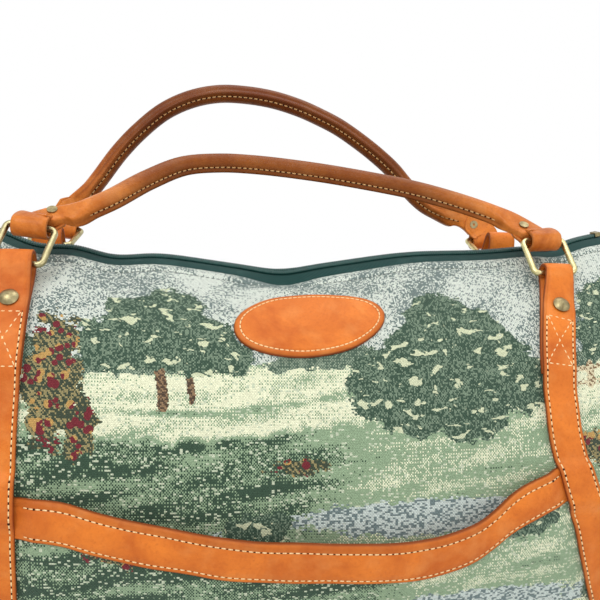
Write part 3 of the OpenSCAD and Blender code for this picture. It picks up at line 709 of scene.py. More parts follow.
end_panel("right_end", 1.0, 41)
end_panel("left_end", -1.0, 47)

w, x = np.meshgrid(np.linspace(-1, 1, 41), np.linspace(-half_length, half_length, 85))
y = w * base_depth / 2 * narrowing(x)
base_points = np.stack([x, y, np.full_like(x, 0.25)], axis=-1)
cloth_sheet("base_cloth", base_points, (x, y), (x, 150 + 0.4 * y), "base_panel", 0.0)

# %% [markdown]
# ## Leather and thread
# The trim is vegetable-tanned leather: orange-tan, a little cloudy, with fine pores, a soft shine and dark,
# burnished cut edges. A plain colour would look like plastic, so noise in the object's own space clouds the
# colour, small cells give the pores, and fields stored on each piece say where its cut edge shows and where
# it is darkened. The handles are the same hide, darkened by hands, with painted shade on their low side
# and in the creases beside their fin.

# %% Leather, thread and needle holes
def leather(name, warm, deep, raw, burnt, rough_low, rough_high, cloud=26.0, shine=0.26):
    """Cloudy hide with pores; the field edge brings out the burnished cut edge, and the field dark darkens
    it: grime on the handles, painted shade on their low side and beside their fin, and darker margins by the
    edges of straps, band and patch."""
    f = Finish(name)
    where = f.place("Object")
    clouds = f.noise(where, cloud, 5.0, 0.62, 0.6)
    colour = f.blend(f.span(clouds, 0.36, 0.68), warm, deep)
    flecks = f.noise(where, 520.0, 3.0, 0.6)
    colour = f.blend(f.span(flecks, 0.52, 0.78, 0.0, 0.5), colour, deep)
    colour = f.blend(f.span(f.noise(where, 70.0, 3.0, 0.55), 0.5, 0.75, 0.0, 0.4), colour, raw)
    colour = f.blend(f.field("edge"), colour, burnt)
    # The field dark mixes in a near-black brown: grime and painted shade on the handles, darker margins
    # elsewhere.
    colour = f.blend(f.times(f.field("dark"), 0.8), colour, tint(66, 20, 1))
    normal = f.bump(f.math("SUBTRACT", 1.0, f.cells(where, 820.0)), 0.09)
    normal = f.bump(f.noise(where, 130.0, 4.0, 0.6), 0.5, Normal=normal)
    return f.surface(colour, f.span(clouds, 0.35, 0.7, rough_low, rough_high), normal,
                     Specular_IOR_Level=shine)


def plain_thread(name, light, dark):
    """Twisted thread: two tones in fine cells."""
    f = Finish(name)
    twist = f.noise(f.place("Object"), 1500.0, 2.0, 0.6)
    return f.surface(f.blend(f.span(twist, 0.35, 0.65), dark, light), 0.8, f.bump(twist, 0.1),
                     Specular_IOR_Level=0.2)


tan_leather = leather("tan_leather", tint(224, 124, 40), tint(188, 91, 25), tint(226, 146, 76),
                      tint(150, 72, 24), 0.48, 0.62)
handle_leather = leather("handle_leather", tint(222, 132, 56), tint(170, 88, 28), tint(228, 156, 90),
                         tint(178, 104, 48), 0.26, 0.4, 34.0, 0.15)
worn_thread = plain_thread("worn_thread", tint(220, 180, 124), tint(168, 120, 74))
cream_thread = plain_thread("cream_thread", tint(250, 226, 178), tint(222, 184, 128))
# The hem thread is dark green, darkened further as painted shade of the groove it lies in.
green_thread = plain_thread("green_thread", tint(104, 116, 106), tint(54, 66, 60))
# The needle holes are dark dots of painted shade.
needle_hole = plain_thread("needle_hole", tint(70, 34, 16), tint(40, 18, 8))
print("finishes", [m.name for m in bpy.data.materials])

# %% [markdown]
# ## Strips and stitches
# Straps, loops and tabs are all one thing: a flat strip with rounded edges, carried along a line. The
# profile has a shallow groove where the stitching pulls the leather down. A stitch is a small arched
# lozenge of thread, laid by the hundred: one template, moved to every place at once by array arithmetic.
# Between them sit the needle holes, as dark dots of painted shade.

# %% A strip of leather along a line
groove = 0.79
strip_a = np.array([1.0, 0.995, 0.965, 0.9, 0.83, groove, 0.75, 0.6, 0.3, 0.0])
strip_b = np.array([0.0, 0.5, 0.86, 1.0, 0.97, 0.72, 0.97, 1.03, 1.06, 1.07])
face_a = np.concatenate([strip_a, -strip_a[-2::-1]])
face_b = np.concatenate([strip_b, strip_b[-2::-1]])
back_a = np.array([-0.985, -0.93, -0.6, 0.0, 0.6, 0.93, 0.985])
back_b = np.array([-0.6, -1.0, -1.0, -1.0, -1.0, -1.0, -0.6])
strip_profile = np.stack([np.concatenate([face_a, back_a]), np.concatenate([face_b, back_b])], axis=-1)
strip_border = 0.3 * smooth((np.abs(strip_profile[:, 0]) - 0.68) / 0.3)


def strip_frame(line, across):
    """Unit tangent, side and normal along a line. The side is across, squared to the tangent; normal =
    tangent x side."""
    tangent = unit(np.gradient(line, axis=0))
    side = np.broadcast_to(np.asarray(across, float), line.shape)
    side = unit(side - np.sum(side * tangent, axis=-1, keepdims=True) * tangent)
    return tangent, side, np.cross(tangent, side)


def strip(line, across, width, thick):
    """Points, faces, caps and cut-edge field of a strip: the oblong profile is scaled by half width and
    half thickness and carried along the line."""
    tangent, side, normal = strip_frame(line, across)
    half_w = np.broadcast_to(np.asarray(width, float) / 2, len(line))[:, None, None]
    half_t = np.broadcast_to(np.asarray(thick, float) / 2, len(line))[:, None, None]
    a, b = strip_profile[None, :, :1], strip_profile[None, :, 1:]
    points = line[:, None] + a * half_w * side[:, None] + b * half_t * normal[:, None]
    m = len(strip_profile)
    edge = np.broadcast_to(smooth((np.abs(strip_profile[:, 0]) - 0.955) / 0.03), (len(line), m)).copy()
    edge[[0, -1]] = 1.0
    return points, grid_faces(len(line), m, ring=True), end_caps(len(line), m), edge.ravel()


def on_strip(line, across, width, thick, share):
    """The line that runs along the strip's face at a share of its half width, with its normals."""
    tangent, side, normal = strip_frame(line, across)
    half_w = np.broadcast_to(np.asarray(width, float) / 2, len(line))[:, None]
    return line + share * half_w * side + normal * (np.asarray(thick) / 2 * 0.86), normal


# %% Stitches
stitch_along = np.array([-1.0, -0.8, 0.0, 0.8, 1.0])
stitch_lift = np.array([0.0, 0.75, 1.0, 0.75, 0.0])
stitch_turn = np.radians([-90.0, -40.0, 0.0, 40.0, 90.0])
stitch_length, thread_radius = 2.7, 0.5
thread_rows, hole_rows, green_rows = [], [], []


def row_of_stitches(line, normals, pitch):
    """Evenly spaced places along a line: middle, direction and normal of each stitch."""
    s = lengths(line)
    count = max(int(s[-1] / pitch), 2)
    at = (np.arange(count) + 0.5) * s[-1] / count
    ahead = points_at(line, s, np.minimum(at + 0.5, s[-1]))
    behind = points_at(line, s, np.maximum(at - 0.5, 0))
    return points_at(line, s, at), unit(ahead - behind), unit(points_at(normals, s, at))


def stitch_line(line, normals, pitch=3.7, rows=thread_rows):
    """Notes a row of stitches, and the needle holes between them."""
    middle, direction, normal = row_of_stitches(line, normals, pitch)
    rows.append((middle, direction, normal))
    if rows is thread_rows:
        hole_rows.append((middle + direction * pitch / 2, direction, normal))


def gather(rows):
    """All noted stitches: their middles, directions and normals, and the directions across them."""
    middle, direction, normal = (np.concatenate([r[n] for r in rows])[:, None] for n in range(3))
    return middle, direction, normal, np.cross(normal, direction)


def sew(name, rows, finish, body, length=stitch_length, radius=thread_radius):
    """All noted stitches as one piece: points = middle + along the direction + across it + up, from one
    template."""
    middle, direction, normal, side = gather(rows)
    u, q = np.meshgrid(np.arange(5), np.arange(5), indexing="ij")
    along = (stitch_along[u] * length / 2).reshape(-1, 1)
    across = (np.sin(stitch_turn[q]) * radius * (0.55 + 0.45 * stitch_lift[u])).reshape(-1, 1)
    height = (np.cos(stitch_turn[q]) * radius * stitch_lift[u] * 1.1 - 0.12).reshape(-1, 1)
    points = middle + along * direction + across * side + height * normal
    faces = (grid_faces(5, 5)[None] + 25 * np.arange(len(middle))[:, None, None]).reshape(-1, 4)
    make_piece(name, points, faces, body, finish)


def prick(name, rows, finish, body, radius):
    """Needle holes: six-sided dark dots of painted shade just above the leather."""
    middle, direction, normal, side = gather(rows)
    a = np.arange(6)[:, None] * np.pi / 3
    points = middle + (np.cos(a) * direction + np.sin(a) * side) * radius + 0.06 * normal
    hexagons = np.arange(6) + 6 * np.arange(len(middle))[:, None]
    faces = np.concatenate([hexagons[:, [0, 1, 2, 3]], hexagons[:, [0, 3, 4, 5]]])
    make_piece(name, points, faces, body, finish)


print("strip profile of", len(strip_profile), "points, stitch of", len(grid_faces(5, 5)), "faces")

# %% [markdown]
# ## Straps
# Each strap runs up the side of the bag, over its own folded tail, round the ring's lower bar and back down
# behind itself. The line is drawn once, from the tail's end up, round the bar and down the front, and the
# strip follows it. The front right strap doesn't hang straight: it bows in above the pocket and veers out
# towards its foot.

# %% Strap lines
strap_width, strap_thick, strap_gap = 21.5, 2.6, 0.4
strap_rows = 18.0
right_bow, right_veer = 15.0, 36.0
box_top, box_foot, box_share = 227.5, 201.0, 0.74
eye_y, eye_z = 44.908, 252.682
eye_out, eye_up = np.array([-0.553, 0.833]), np.array([0.833, 0.553])


def strap_drift(z, bow, veer):
    """Sideways drift at height z: outwards below the pocket's mouth, inwards as a sine from the ring down
    to it."""
    inwards = np.sin(np.pi / 2 * np.clip((246.0 - z) / 55.0, 0.0, 1.0)) * smooth((z - 105.0) / 70.0)
    return veer * smooth(1 - z / 138.0) - bow * inwards


def over_pocket(side, z):
    """How much a front strap is lifted where the pocket and its band pass below it."""
    if side == "rear":
        return 0.0 * z
    return 1.0 * smooth((145.0 - z) / 7.0) + 2.3 * smooth((z - 117.0) / 6.0) * smooth((150.0 - z) / 6.0)


def strap_line(side, sign, bow, veer):
    """Tail up the cloth, a circle round the bar, a slack S down to the rivet, then the front leaf down to
    the foot."""
    def on_cloth(row, out):
        t = row / strap_rows
        flat = skin(side, sign * strap_x, t, out)
        drift = strap_drift(flat[:, 2], bow, veer)
        return skin(side, sign * (strap_x + drift), t, out)

    turn = np.radians(np.arange(-75.0, 116.0, 27.0))[:, None]
    radius = 4.8 if bow else 5.9
    ring = radius * (np.cos(turn) * eye_up + np.sin(turn) * eye_out) + np.array([-eye_y, eye_z])
    if side == "rear":
        taller = 11.0 if sign > 0 else 5.0
        ring[:, 1] += taller * np.sin(np.linspace(0.25, np.pi - 0.35, len(ring)))
    flip = 1.0 if side == "front" else -1.0
    loop = np.stack([np.full(len(ring), sign * strap_x), flip * ring[:, 0], ring[:, 1]], axis=-1)
    tail = on_cloth(np.linspace(10.8, 14.6, 7), np.full(7, strap_gap + strap_thick / 2))
    rows = np.concatenate([np.array([13.75]), np.linspace(13.3, 0.2, 40)])
    lift = over_pocket(side, skin(side, sign * strap_x, rows / strap_rows)[:, 2])
    over = strap_gap + strap_thick * (0.5 + smooth((rows - 10.1) / 1.0)) + lift
    return through(np.concatenate([tail, loop, on_cloth(rows, over)]), 260)


def sew_strap(line, across, width):
    """Stitches: a boxed cross below the rivet, and both edges of the front leaf from there down."""
    top = int(np.argmax(line[:, 2]))
    z = line[:, 2]
    front = [n for n in range(top + 9, len(line)) if z[n] < box_top]
    for share in (-groove, groove):
        path, normal = on_strip(line, across, width, strap_thick, share)
        stitch_line(path[front], normal[front])
    box = [n for n in front if z[n] > box_foot]
    wide = [on_strip(line, across, width, strap_thick, s)[0] for s in (-box_share, box_share)]
    normal = strip_frame(line, across)[2]
    ramp = np.linspace(0, 1, len(box))[:, None]
    for a, b in ((wide[0], wide[1]), (wide[1], wide[0])):
        stitch_line(a[box] * (1 - ramp) + b[box] * ramp, normal[box])
    for n in (box[0], box[-1]):
        ends = np.stack([wide[0][n], wide[1][n]])
        stitch_line(respace(ends, 8), np.repeat(normal[n:n + 1], 8, axis=0))


straps = {
    "front_left_strap": ("front", -1.0, 0.0, 0.0),
    "front_right_strap": ("front", 1.0, right_bow, right_veer),
    "rear_left_strap": ("rear", -1.0, 0.0, 0.0),
    "rear_right_strap": ("rear", 1.0, 0.0, 0.0),
}
for node, (side, sign, bow, veer) in straps.items():
    line = strap_line(side, sign, bow, veer)
    across = np.array([1.0 if side == "front" else -1.0, 0.0, 0.0])
    pinch = (0.14 if bow else 0.06) * hump(np.arange(len(line)), np.argmax(line[:, 2]), 16.0)
    width = strap_width * (1 - pinch)
    points, faces, caps, edge = strip(line, across, width, strap_thick)
    make_piece(node.replace("strap", "strap_leather"), points, faces, "bag", tan_leather,
               fields={"edge": edge, "dark": np.tile(strip_border, len(line))}, hides=[node], caps=caps,
               closed=True)
    sew_strap(line, across, width)

# %% [markdown]
# ## Front pocket
# A slip pocket hangs between the straps: a sheet of tapestry that stands a little off the bag at its mouth,
# with a leather band folded over its edge. The mouth sags in the middle and climbs to the straps, steeply
# on the right. The sheet is a grid between the two straps; the band is a hooked profile carried along the
# mouth.

# %% Pocket sheet
pocket_half, pocket_foot = 162.0, 6.0
mouth = [
    (-160, 143.5), (-151.5, 141.6), (-133, 135.3), (-113, 128.9), (-87.6, 121.6), (-61, 115.6), (-34, 111.6),
    (-6.5, 109.3), (27.6, 107.5), (62.6, 107.6), (80, 109.8), (98, 115.2), (109, 122.2), (117.5, 129.0),
    (126, 134.2), (138, 139.4), (148, 143.4), (160, 147.5),
]
mouth_line = through(mouth, 400)


def mouth_height(x):
    """Height of the pocket's mouth at x, which flattens out towards the left strap."""
    flatter = 2.2 * smooth((-x - 60.0) / 60.0) + 6.0 * smooth((-x - 128.0) / 36.0)
    return np.interp(x, mouth_line[:, 0], mouth_line[:, 1]) - flatter


def station_of(x, z):
    """Station of the bag's section that lies at height z."""
    belly = bag_depth / 2 * narrowing(x)
    last = np.arccos((slot_half / belly) ** (side_power / 2))
    share = np.clip((z - belly_height) / (zip_line(x) - belly_height), 0.0, 1.0)
    high = belly_share + (1 - belly_share) * np.arcsin(share ** (crown_power / 2)) / last
    return np.where(z < belly_height, belly_share * z / belly_height, high)


def pocket_out(x, z):
    """Distance of the pocket's outer face from the bag: nothing at the foot, a little room at the mouth,
    flat where the straps hold it."""
    rise = smooth((z - pocket_foot) / (mouth_height(x) - pocket_foot))
    across = np.clip(np.abs(x) / pocket_half, 0, 1)
    strap_edge = strap_x - strap_width / 2 + np.where(x > 0, strap_drift(z, right_bow, right_veer), 0.0)
    side = smooth((strap_edge + 1.0 - np.abs(x)) / 12.0)
    room = 1.5 + rise * (2.0 + 8.0 * (1 - across * across) + 0.8 * waves(x, z, 77, 6, 120.0, 40.0))
    return 0.9 + side * room


def on_pocket(x, z, out=0.0):
    """Points of the pocket's outer face, or of a layer out from it."""
    return skin("front", x, station_of(x, z), pocket_out(x, z) + out)


across, up = np.meshgrid(np.linspace(-1, 1, 131), np.linspace(0, 1, 46))
x = across * pocket_half
z = pocket_foot + (mouth_height(x) - 3.0 - pocket_foot) * up
x = x + np.where(across > 0, across, 0) ** 3 * strap_drift(z, 0.0, right_veer)
v = up_cloth(station_of(x, z))
cloth_sheet("pocket_cloth", on_pocket(x, z), (x + 31.0, v + 60.0), (x - 30.0, v + 54.0), "pocket_panel",
            1.0)

# %% Pocket band
hook = np.array([
    (22.0, 0.6), (21.8, 1.5), (21.2, 1.95), (20.3, 1.95), (19.7, 1.6), (19.1, 1.95), (16.0, 2.1),
    (11.0, 2.15), (7.0, 2.1), (5.0, 1.95), (4.3, 1.5), (3.6, 2.0), (1.8, 2.1), (0.5, 1.5), (-0.1, 0.4),
    (-0.3, -0.9), (0.0, -2.2), (0.8, -3.3), (2.4, -3.8), (8.8, -3.9), (8.9, -2.4), (3.0, -2.2), (2.4, -1.2),
    (3.0, 0.0), (11.0, 0.0), (21.6, 0.0),
])
hook_edges = (0, 1, 14, 15, 16, 19, 20)
band_steps, m = 240, len(hook)
band_x = np.linspace(-pocket_half, pocket_half - 1.0, band_steps)
band_z = mouth_height(band_x)
points = on_pocket(band_x[:, None], band_z[:, None] - hook[None, :, 0], hook[None, :, 1])
edge = np.tile(np.isin(np.arange(m), hook_edges).astype(float), band_steps)
band_border = 0.3 * smooth((np.abs(hook[:, 0] - 12.0) - 6.0) / 5.0)
make_piece("pocket_band_leather", points, grid_faces(band_steps, m, ring=True), "bag", tan_leather,
           fields={"edge": edge, "dark": np.tile(band_border, band_steps)},
           hides=["pocket_band"], caps=end_caps(band_steps, m), closed=True)
for low in (4.3, 19.7):
    path, above = (on_pocket(band_x[6:-6], band_z[6:-6] - low, out) for out in (1.62, 2.62))
    stitch_line(path, unit(above - path))

# %% [markdown]
# ## Oval patch
# A bare oval of leather is sewn on under the zip. It is a polar grid: rings of points from the middle to
# the rim, bent onto the cloth, with a rounded rim and a groove under the stitches.

# %% Patch
patch_v, patch_turn = cloth_height - 54.2, 0.16
patch_wide, patch_high, rim_start, stitch_ring = 47.0, 23.8, 0.84, 0.893
patch_r = np.array([0.0, 0.12, 0.25, 0.4, 0.55, 0.68, 0.78, 0.84, 0.875, 0.893, 0.911, 0.93, 0.955, 0.98,
                    0.995, 1.0, 1.0, 0.9, 0.5])
patch_o = np.array([2.75, 2.75, 2.74, 2.72, 2.7, 2.66, 2.62, 2.6, 2.55, 2.2, 2.55, 2.6, 2.5, 2.1, 1.5, 0.9,
                    0.3, 0.2, 0.2])
spokes = 96


def on_patch(r, a, out):
    """Share r of the radius at angle a: the stitched rings keep an even distance from the rim. The oval is
    turned a little."""
    def reach(half, slope):
        """Half size at r: falls from the rim by slope, and from rim_start on goes straight to the middle."""
        inner = half - slope * (1 - rim_start)
        return np.where(r > rim_start, half - slope * (1 - r), inner * r / rim_start)

    wide, high = reach(patch_wide, 34.0) * np.cos(a), reach(patch_high, 30.0) * np.sin(a)
    v = patch_v + high + wide * patch_turn
    return skin("front", patch_x + wide - high * patch_turn, station_at(v), out)


r, a = np.meshgrid(patch_r, np.linspace(0, 2 * np.pi, spokes, endpoint=False), indexing="ij")
points = on_patch(r, a, np.broadcast_to(patch_o[:, None], r.shape))
edge = np.repeat(((patch_r > 0.99) * (patch_o < 1.6)).astype(float), spokes)
rim = np.repeat(0.34 * smooth((patch_r - 0.86) / 0.13), spokes)
flat_points = np.concatenate([points[1:].reshape(-1, 3), points[:1, 0]])
rows = len(patch_r) - 1
hub = rows * spokes
spin = np.arange(spokes)
caps = [(hub, (n + 1) % spokes, n) for n in spin] + [tuple((rows - 1) * spokes + spin)]
make_piece("patch_leather", flat_points, grid_faces(rows, spokes, ring=True), "bag", tan_leather,
           hides=["label_patch"], caps=caps, closed=True,
           fields={"edge": np.append(edge[spokes:], 0.0), "dark": np.append(rim[spokes:], 0.0)})
round_patch = np.linspace(0, 2 * np.pi, 241)
path, above = (on_patch(stitch_ring, round_patch, out) for out in (2.25, 3.25))
stitch_line(path, unit(above - path), 3.1)

# %% [markdown]
# ## Zip
# A coil zip closes the top: two woven tapes tucked under the hems and two rows of coil that meet in the
# middle. The tapes are strips of a grid between the two hems, which also follow the dent in the bag's top.
# Each coil is a tube whose radius swells once per turn, which reads as a spiral at this size and stays
# light.

# %% Zip finishes
def zip_tape_cloth():
    """Dark green tape in a fine rib weave."""
    f = Finish("zip_tape_cloth")
    rib = f.tree.nodes.new("ShaderNodeTexWave")
    rib.wave_type, rib.bands_direction = "BANDS", "DIAGONAL"
    f.feed(rib.inputs["Vector"], f.place("UV"))
    rib.inputs["Scale"].default_value = 210.0
    rib.inputs["Distortion"].default_value = 0.4
    dust = f.noise(f.place("Object"), 60.0, 4.0, 0.6)
    colour = f.blend(rib.outputs["Fac"], tint(2, 32, 32), tint(14, 70, 64))
    colour = f.blend(f.span(dust, 0.5, 0.8, 0.0, 0.3), colour, tint(66, 100, 94))
    return f.surface(colour, 0.82, f.bump(rib.outputs["Fac"], 0.15), Specular_IOR_Level=0.25,
                     Sheen_Weight=0.1)


def coil_plastic():
    """Dyed nylon coil, a little shiny on its turns."""
    f = Finish("coil_plastic")
    mark = f.noise(f.place("Object"), 300.0, 3.0, 0.6)
    return f.surface(f.blend(mark, tint(4, 40, 38), tint(20, 80, 72)), f.span(mark, 0.3, 0.7, 0.34, 0.5),
                     f.bump(mark, 0.08))


tape_cloth, coil_finish = zip_tape_cloth(), coil_plastic()


# %% Tapes and coils
tape_half, coil_half = 251.8, 220.0
coil_radius, coil_pitch, coil_steps, coil_sides = 1.5, 1.5, 1760, 8


def zip_bed(x, w):
    """Point of the zip at x and share w of the slot, from -1 at the front hem to 1 at the rear one: a
    straight line between the hems plus a low crown 2.6 (1 - w^2)."""
    front = zip_line(x) + slump("front", x)
    rear = zip_line(x) + slump("rear", x)
    height = front + (rear - front) * (w + 1) / 2 + 2.6 * (1 - w * w) - 1.6
    return np.stack([x + 0 * w, slot_half * w + 0 * x, height], axis=-1)


def zip_tape(side, sign):
    """From under the hem to the coil."""
    shares = sign * np.array([1.2, 1.05, 0.9, 0.75, 0.6, 0.45, 0.3, 0.2, 0.12])
    x, w = np.meshgrid(np.linspace(-tape_half, tape_half, 336), shares)
    obj = make_piece(side + "_tape", zip_bed(x, w), grid_faces(*x.shape)[:, :: int(-sign)], "bag", tape_cloth,
                     lay_out(x, w * slot_half), hides=["zip_" + side + "_tape"])
    thicken(obj, 0.7)


def zip_coil(side, sign):
    """A tube along the zip; its radius is coil_radius (1 + 0.17 cos) once per coil_pitch, slanted by the
    angle round it."""
    x, a = np.meshgrid(np.linspace(-coil_half, coil_half, coil_steps),
                       np.linspace(0, 2 * np.pi, coil_sides, endpoint=False), indexing="ij")
    axis = zip_bed(x, sign * 0.135)
    axis[..., 2] += 1.0
    radius = coil_radius * (1 + 0.17 * np.cos(2 * np.pi * x / coil_pitch + sign * 1.2 * np.sin(a)))
    points = axis + np.stack([0 * a, radius * np.cos(a), radius * np.sin(a)], axis=-1)
    make_piece(side + "_coil", points, grid_faces(coil_steps, coil_sides, ring=True), "bag", coil_finish,
               hides=["zip_" + side + "_coil"], caps=end_caps(coil_steps, coil_sides),
               closed=True)


zip_tape("front", -1.0)
zip_tape("rear", 1.0)
zip_coil("front", -1.0)
zip_coil("rear", 1.0)
for side in ("front", "rear"):
    x, t = np.linspace(-246, 246, 400), station_at(cloth_height - hem_row)
    path, above = (skin(side, x, t, out) for out in (-0.75, 0.25))
    stitch_line(path, unit(above - path), 3.4, green_rows)
sew("hem_stitches", green_rows, green_thread, "bag", 2.5, 0.45)

# %% [markdown]
# ## Rolled handles
# Each handle is one piece of hide. Its flat end is folded round the ring's upper bar and riveted to itself,
# and then the hide rolls up into a tube, with its two edges sewn into a low fin. The tube is a profile
# carried along the arch: it starts as a wide flat oblong at the tab and rounds off on the way. The arch
# lies in a plane that leans back, so it is drawn flat, as distance along the bag and distance from the
# ring, and then leaned.

# %% Handle shape
tab_x = {-1.0: -163.848, 1.0: 167.117}
tube_r, tab_half, tab_deep, tab_width, tab_thick = 6.7, 10.6, 3.0, 21.5, 2.4
arch_steps, arch_sides, handle_pitch = 240, 40, 3.9


def lean_out(flat, depth, top, lean):
    """From the handle's own plane to the bag: flat holds x and reach, depth is measured towards the front
    of the plane."""
    s, c = np.sin(np.radians(lean)), np.cos(np.radians(lean))
    x, reach = flat[..., 0], flat[..., 1]
    return np.stack([x, top[0] + reach * s - depth * c, top[1] + reach * c + depth * s], axis=-1)


def arch_frame(knots):
    """The arch's line, its running length, and the direction to the inside of the arch."""
    line = through(knots, arch_steps)
    ahead = unit(np.gradient(line, axis=0))
    return line, lengths(line), np.stack([ahead[:, 1], -ahead[:, 0]], axis=-1)


def rolled_tube(knots, seam_turn, low_turn, grime, tilts, flat_ends, top, lean):
    """Rings of points along the arch, with their fields dark and edge. At share rolled = 0 the ring is a
    flat oblong along the ring bar, at 1 a circle with a fin. Angle 0 looks to the inside of the arch and 90
    degrees to the front."""
    line, s, inner = arch_frame(knots)
    end = np.minimum(s, s[-1] - s)
    left = s < s[-1] / 2
    flat_end = np.where(left, *flat_ends)
    rolled = smooth((end - flat_end) / (20.0 + flat_end))[:, None]
    tilt = np.radians(np.where(left, *tilts))
    bar = np.where(left, 1.0, -1.0)[:, None] * np.stack([np.cos(tilt), np.sin(tilt)], axis=-1)
    inner = unit(bar + (inner - bar) * smooth(end / (23.0 + 1.5 * flat_end))[:, None])
    a = np.linspace(0, 2 * np.pi, arch_sides, endpoint=False)

    def rounded(half, swing):
        """Half size times a power of swing, the cosine or sine: blunt at the tab, 1 in the tube."""
        power = 2 / (2 + 3 * (1 - rolled))
        return (half + (tube_r - half) * rolled) * np.sign(swing) * np.abs(swing) ** power

    off = np.angle(np.exp(1j * (a - np.radians(seam_turn))))
    dips = hump(off, 0.42, 0.1) + hump(off, -0.42, 0.1)
    fin = 1.0 + rolled * (0.28 * hump(off, 0.0, 0.17) - 0.05 * dips)
    flat = line[:, None] + (rounded(tab_half, np.cos(a)) * fin)[..., None] * inner[:, None]
    points = lean_out(flat, rounded(tab_deep, np.sin(a)) * fin, top, lean)
    # dark: grime towards the handle's middle, then painted shade on the tube's low side and in the creases
    # beside the fin.
    painted_underside_shade = smooth((np.cos(a - np.radians(low_turn)) - 0.2) / 0.8)
    grime_and_shade = grime * smooth((end - 18.0) / 80.0)[:, None]
    grime_and_shade = grime_and_shade + (1 - grime_and_shade) * rolled * 0.6 * painted_underside_shade
    dark = grime_and_shade + (1 - grime_and_shade) * rolled * (0.8 * hump(off, 0.36, 0.08) + 0.5 * hump(off, -0.36, 0.1))
    edge = rolled * hump(off, 0.0, 0.09) * 0.8
    return points, {"edge": edge.ravel(), "dark": dark.ravel()}


def seam_line(knots, seam_turn, beside, top, lean):
    """Line of the stitches beside the fin, with its normals."""
    line, s, inner = arch_frame(knots)
    keep = (s > 24) & (s < s[-1] - 24)
    a = np.radians(seam_turn + beside)
    near, far = (lean_out(line + inner * np.cos(a) * r, np.full(arch_steps, np.sin(a) * r), top, lean)
                 for r in (tube_r * 0.99, tube_r + 1))
    return near[keep], unit(far - near)[keep]


def tab_fold(sign, slant, tilt, face, top, lean):
    """Line of the folded end: from the leaf's tip to the bar, round it, and back to the start of the tube.
    Beyond the bar it turns into the direction that the tube leaves in."""
    turn = np.radians(np.arange(-100.0, -261.0, -20.0))
    round_bar = np.stack([6.0 * np.cos(turn), 6.0 * np.sin(turn)], axis=-1)
    d = np.array([(25.0, -3.0), (20.0, -3.0), (15.0, -3.1), (10.0, -3.6), (5.0, -5.0), *round_bar,
                  (5.0, 4.6), (9.0, 2.6), (13.0, 1.2), (17.0, 0.4)])
    go = np.maximum(d[:, 0] - 4.0, 0.0)
    near = np.minimum(d[:, 0], 4.0)
    flat = np.stack([tab_x[sign] - near * np.sin(np.radians(tilt)) - sign * go * np.sin(np.radians(slant)),
                     near * np.cos(np.radians(tilt)) + go * np.cos(np.radians(slant))], axis=-1)
    return through(lean_out(flat, face * d[:, 1], top, lean), 120)


# %% Both handles
handles = {
    "front_handle": dict(
        top=(-26.015, 271.576), lean=57.0, seam=-18.0, low=-42.0, grime=0.84, beside=23.0, face=1.0,
        slants=(48.0, 40.0), tilts=(-9.0, 5.0), flat_ends=(7.0, 7.0),
        knots=[(-161.4, 4.4), (-157.8, 7.0), (-153.6, 9.2), (-147.0, 10.2), (-139.4, 13.2), (-131.0, 20.3),
               (-120.2, 30.0), (-98.8, 53.1), (-75.2, 71.8), (-50.4, 77.5), (-25.1, 77.4), (13.6, 72.2),
               (48.6, 64.7), (89.4, 53.2), (115.0, 42.1), (131.0, 33.5), (140.0, 28.0), (148.5, 21.5),
               (156.3, 13.8), (161.2, 9.0), (164.8, 5.0)]),
    "rear_handle": dict(
        top=(70.32, 260.939), lean=8.0, seam=84.0, low=10.0, grime=1.0, beside=-24.0, face=-1.0,
        slants=(31.0, 40.0), tilts=(-8.0, 3.0), flat_ends=(7.0, 14.0),
        knots=[(-162.4, 4.8), (-159.4, 9.0), (-155.6, 14.2), (-151.0, 19.8), (-145.0, 27.5), (-137.9, 37.0),
               (-122.8, 58.3), (-108.3, 74.6), (-90.0, 90.4), (-70.0, 100.5), (-49.7, 105.4),
               (-29.9, 105.8), (-9.0, 103.6), (12.2, 98.3), (28.2, 92.3), (43.5, 85.4), (59.1, 76.0),
               (74.9, 65.0), (88.3, 54.0), (98.6, 43.0), (108.0, 33.5), (118.0, 26.0), (130.0, 21.0),
               (142.0, 18.0), (150.5, 15.6), (156.8, 12.0), (161.4, 8.2), (164.8, 4.8)]),
}
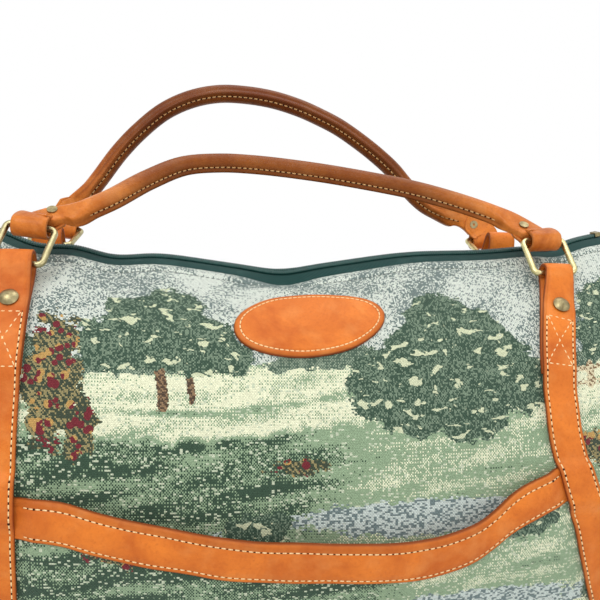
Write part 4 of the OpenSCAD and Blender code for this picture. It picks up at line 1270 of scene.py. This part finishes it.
for name, h in handles.items():
    knots, plane = h["knots"], (h["top"], h["lean"])
    points, fields = rolled_tube(knots, h["seam"], h["low"], h["grime"], h["tilts"], h["flat_ends"], *plane)
    make_piece(name + "_tube", points, grid_faces(arch_steps, arch_sides, ring=True), name, handle_leather,
               fields=fields, hides=[name], caps=end_caps(arch_steps, arch_sides),
               closed=True)
    middle, ahead, normal = row_of_stitches(*seam_line(knots, h["seam"], h["beside"], *plane), handle_pitch)
    sew(name + "_stitches", [(middle, ahead, normal)], worn_thread, name)
    prick(name + "_needle_holes", [(middle + ahead * handle_pitch / 2, ahead, normal)], needle_hole,
          name, 0.7)
    for sign, slant, tilt, side in zip((-1.0, 1.0), h["slants"], h["tilts"], ("left", "right")):
        fold = tab_fold(sign, slant, tilt, h["face"], *plane)
        bar = np.array([np.cos(np.radians(tilt)), np.sin(np.radians(tilt))])
        across = lean_out(bar, 0.0, (0.0, 0.0), h["lean"])
        s = lengths(fold)
        width = tab_width * np.sqrt(np.clip(s / 7.0, 0.06, 1.0)) * (0.5 + 0.5 * smooth((s[-1] - s) / 16.0))
        points, faces, caps, edge = strip(fold, across, width, tab_thick)
        make_piece(name + "_" + side + "_tab", points, faces, name, handle_leather,
                   fields={"edge": edge, "dark": 0.0}, caps=caps, closed=True)

# %% [markdown]
# ## Brass
# Rings, rivets, slider and stops keep their solids. The rings are pale polished wire; the rivets and the
# zip's metal have dulled and browned in their hollows. Polished metal is mostly its surroundings, so the
# finish only clouds the colour and the roughness and adds hairline scratches.

# %% Brass finishes on the frame's own solids
def brass(name, bright, dull, rough_low, rough_high, tarnish):
    """Metal with cloudy tarnish and fine scratches."""
    f = Finish(name)
    where = f.place("Object")
    cloud = f.noise(where, 190.0, 5.0, 0.65, 0.4)
    fine = f.noise(f.stretch(where, (1.0, 1.0, 0.15)), 2600.0, 2.0, 0.5)
    colour = f.blend(f.span(cloud, 0.35, 0.75, 0.0, tarnish), bright, dull)
    return f.surface(colour, f.span(cloud, 0.3, 0.7, rough_low, rough_high), f.bump(fine, 0.02),
                     Metallic=1.0)


pale_brass = brass("pale_brass", tint(224, 214, 160), tint(150, 138, 92), 0.2, 0.38, 0.7)
# The left rings take a greyer, duller copy of the ring brass, as painted shade.
grey_brass = brass("grey_brass", tint(188, 178, 136), tint(126, 114, 78), 0.24, 0.42, 0.8)
aged_brass = brass("aged_brass", tint(164, 152, 114), tint(98, 84, 56), 0.3, 0.52, 0.9)
for name, obj in nodes.items():
    metal = grey_brass if name.endswith("left_ring") else pale_brass if name.endswith("_ring") else aged_brass
    if name.endswith(("_ring", "rivets")) or name in ("zip_slider", "zip_pull", "zip_end_stops"):
        obj.data.materials.clear()
        obj.data.materials.append(metal)
        print(name, "takes", metal.name)

# %% [markdown]
# ## Sewing
# All the rows of stitches noted so far become two pieces: the cream thread and its needle holes.

# %% Sew the trim
sew("trim_stitches", thread_rows, cream_thread, "bag")
prick("trim_needle_holes", hole_rows, needle_hole, "bag", 0.8)
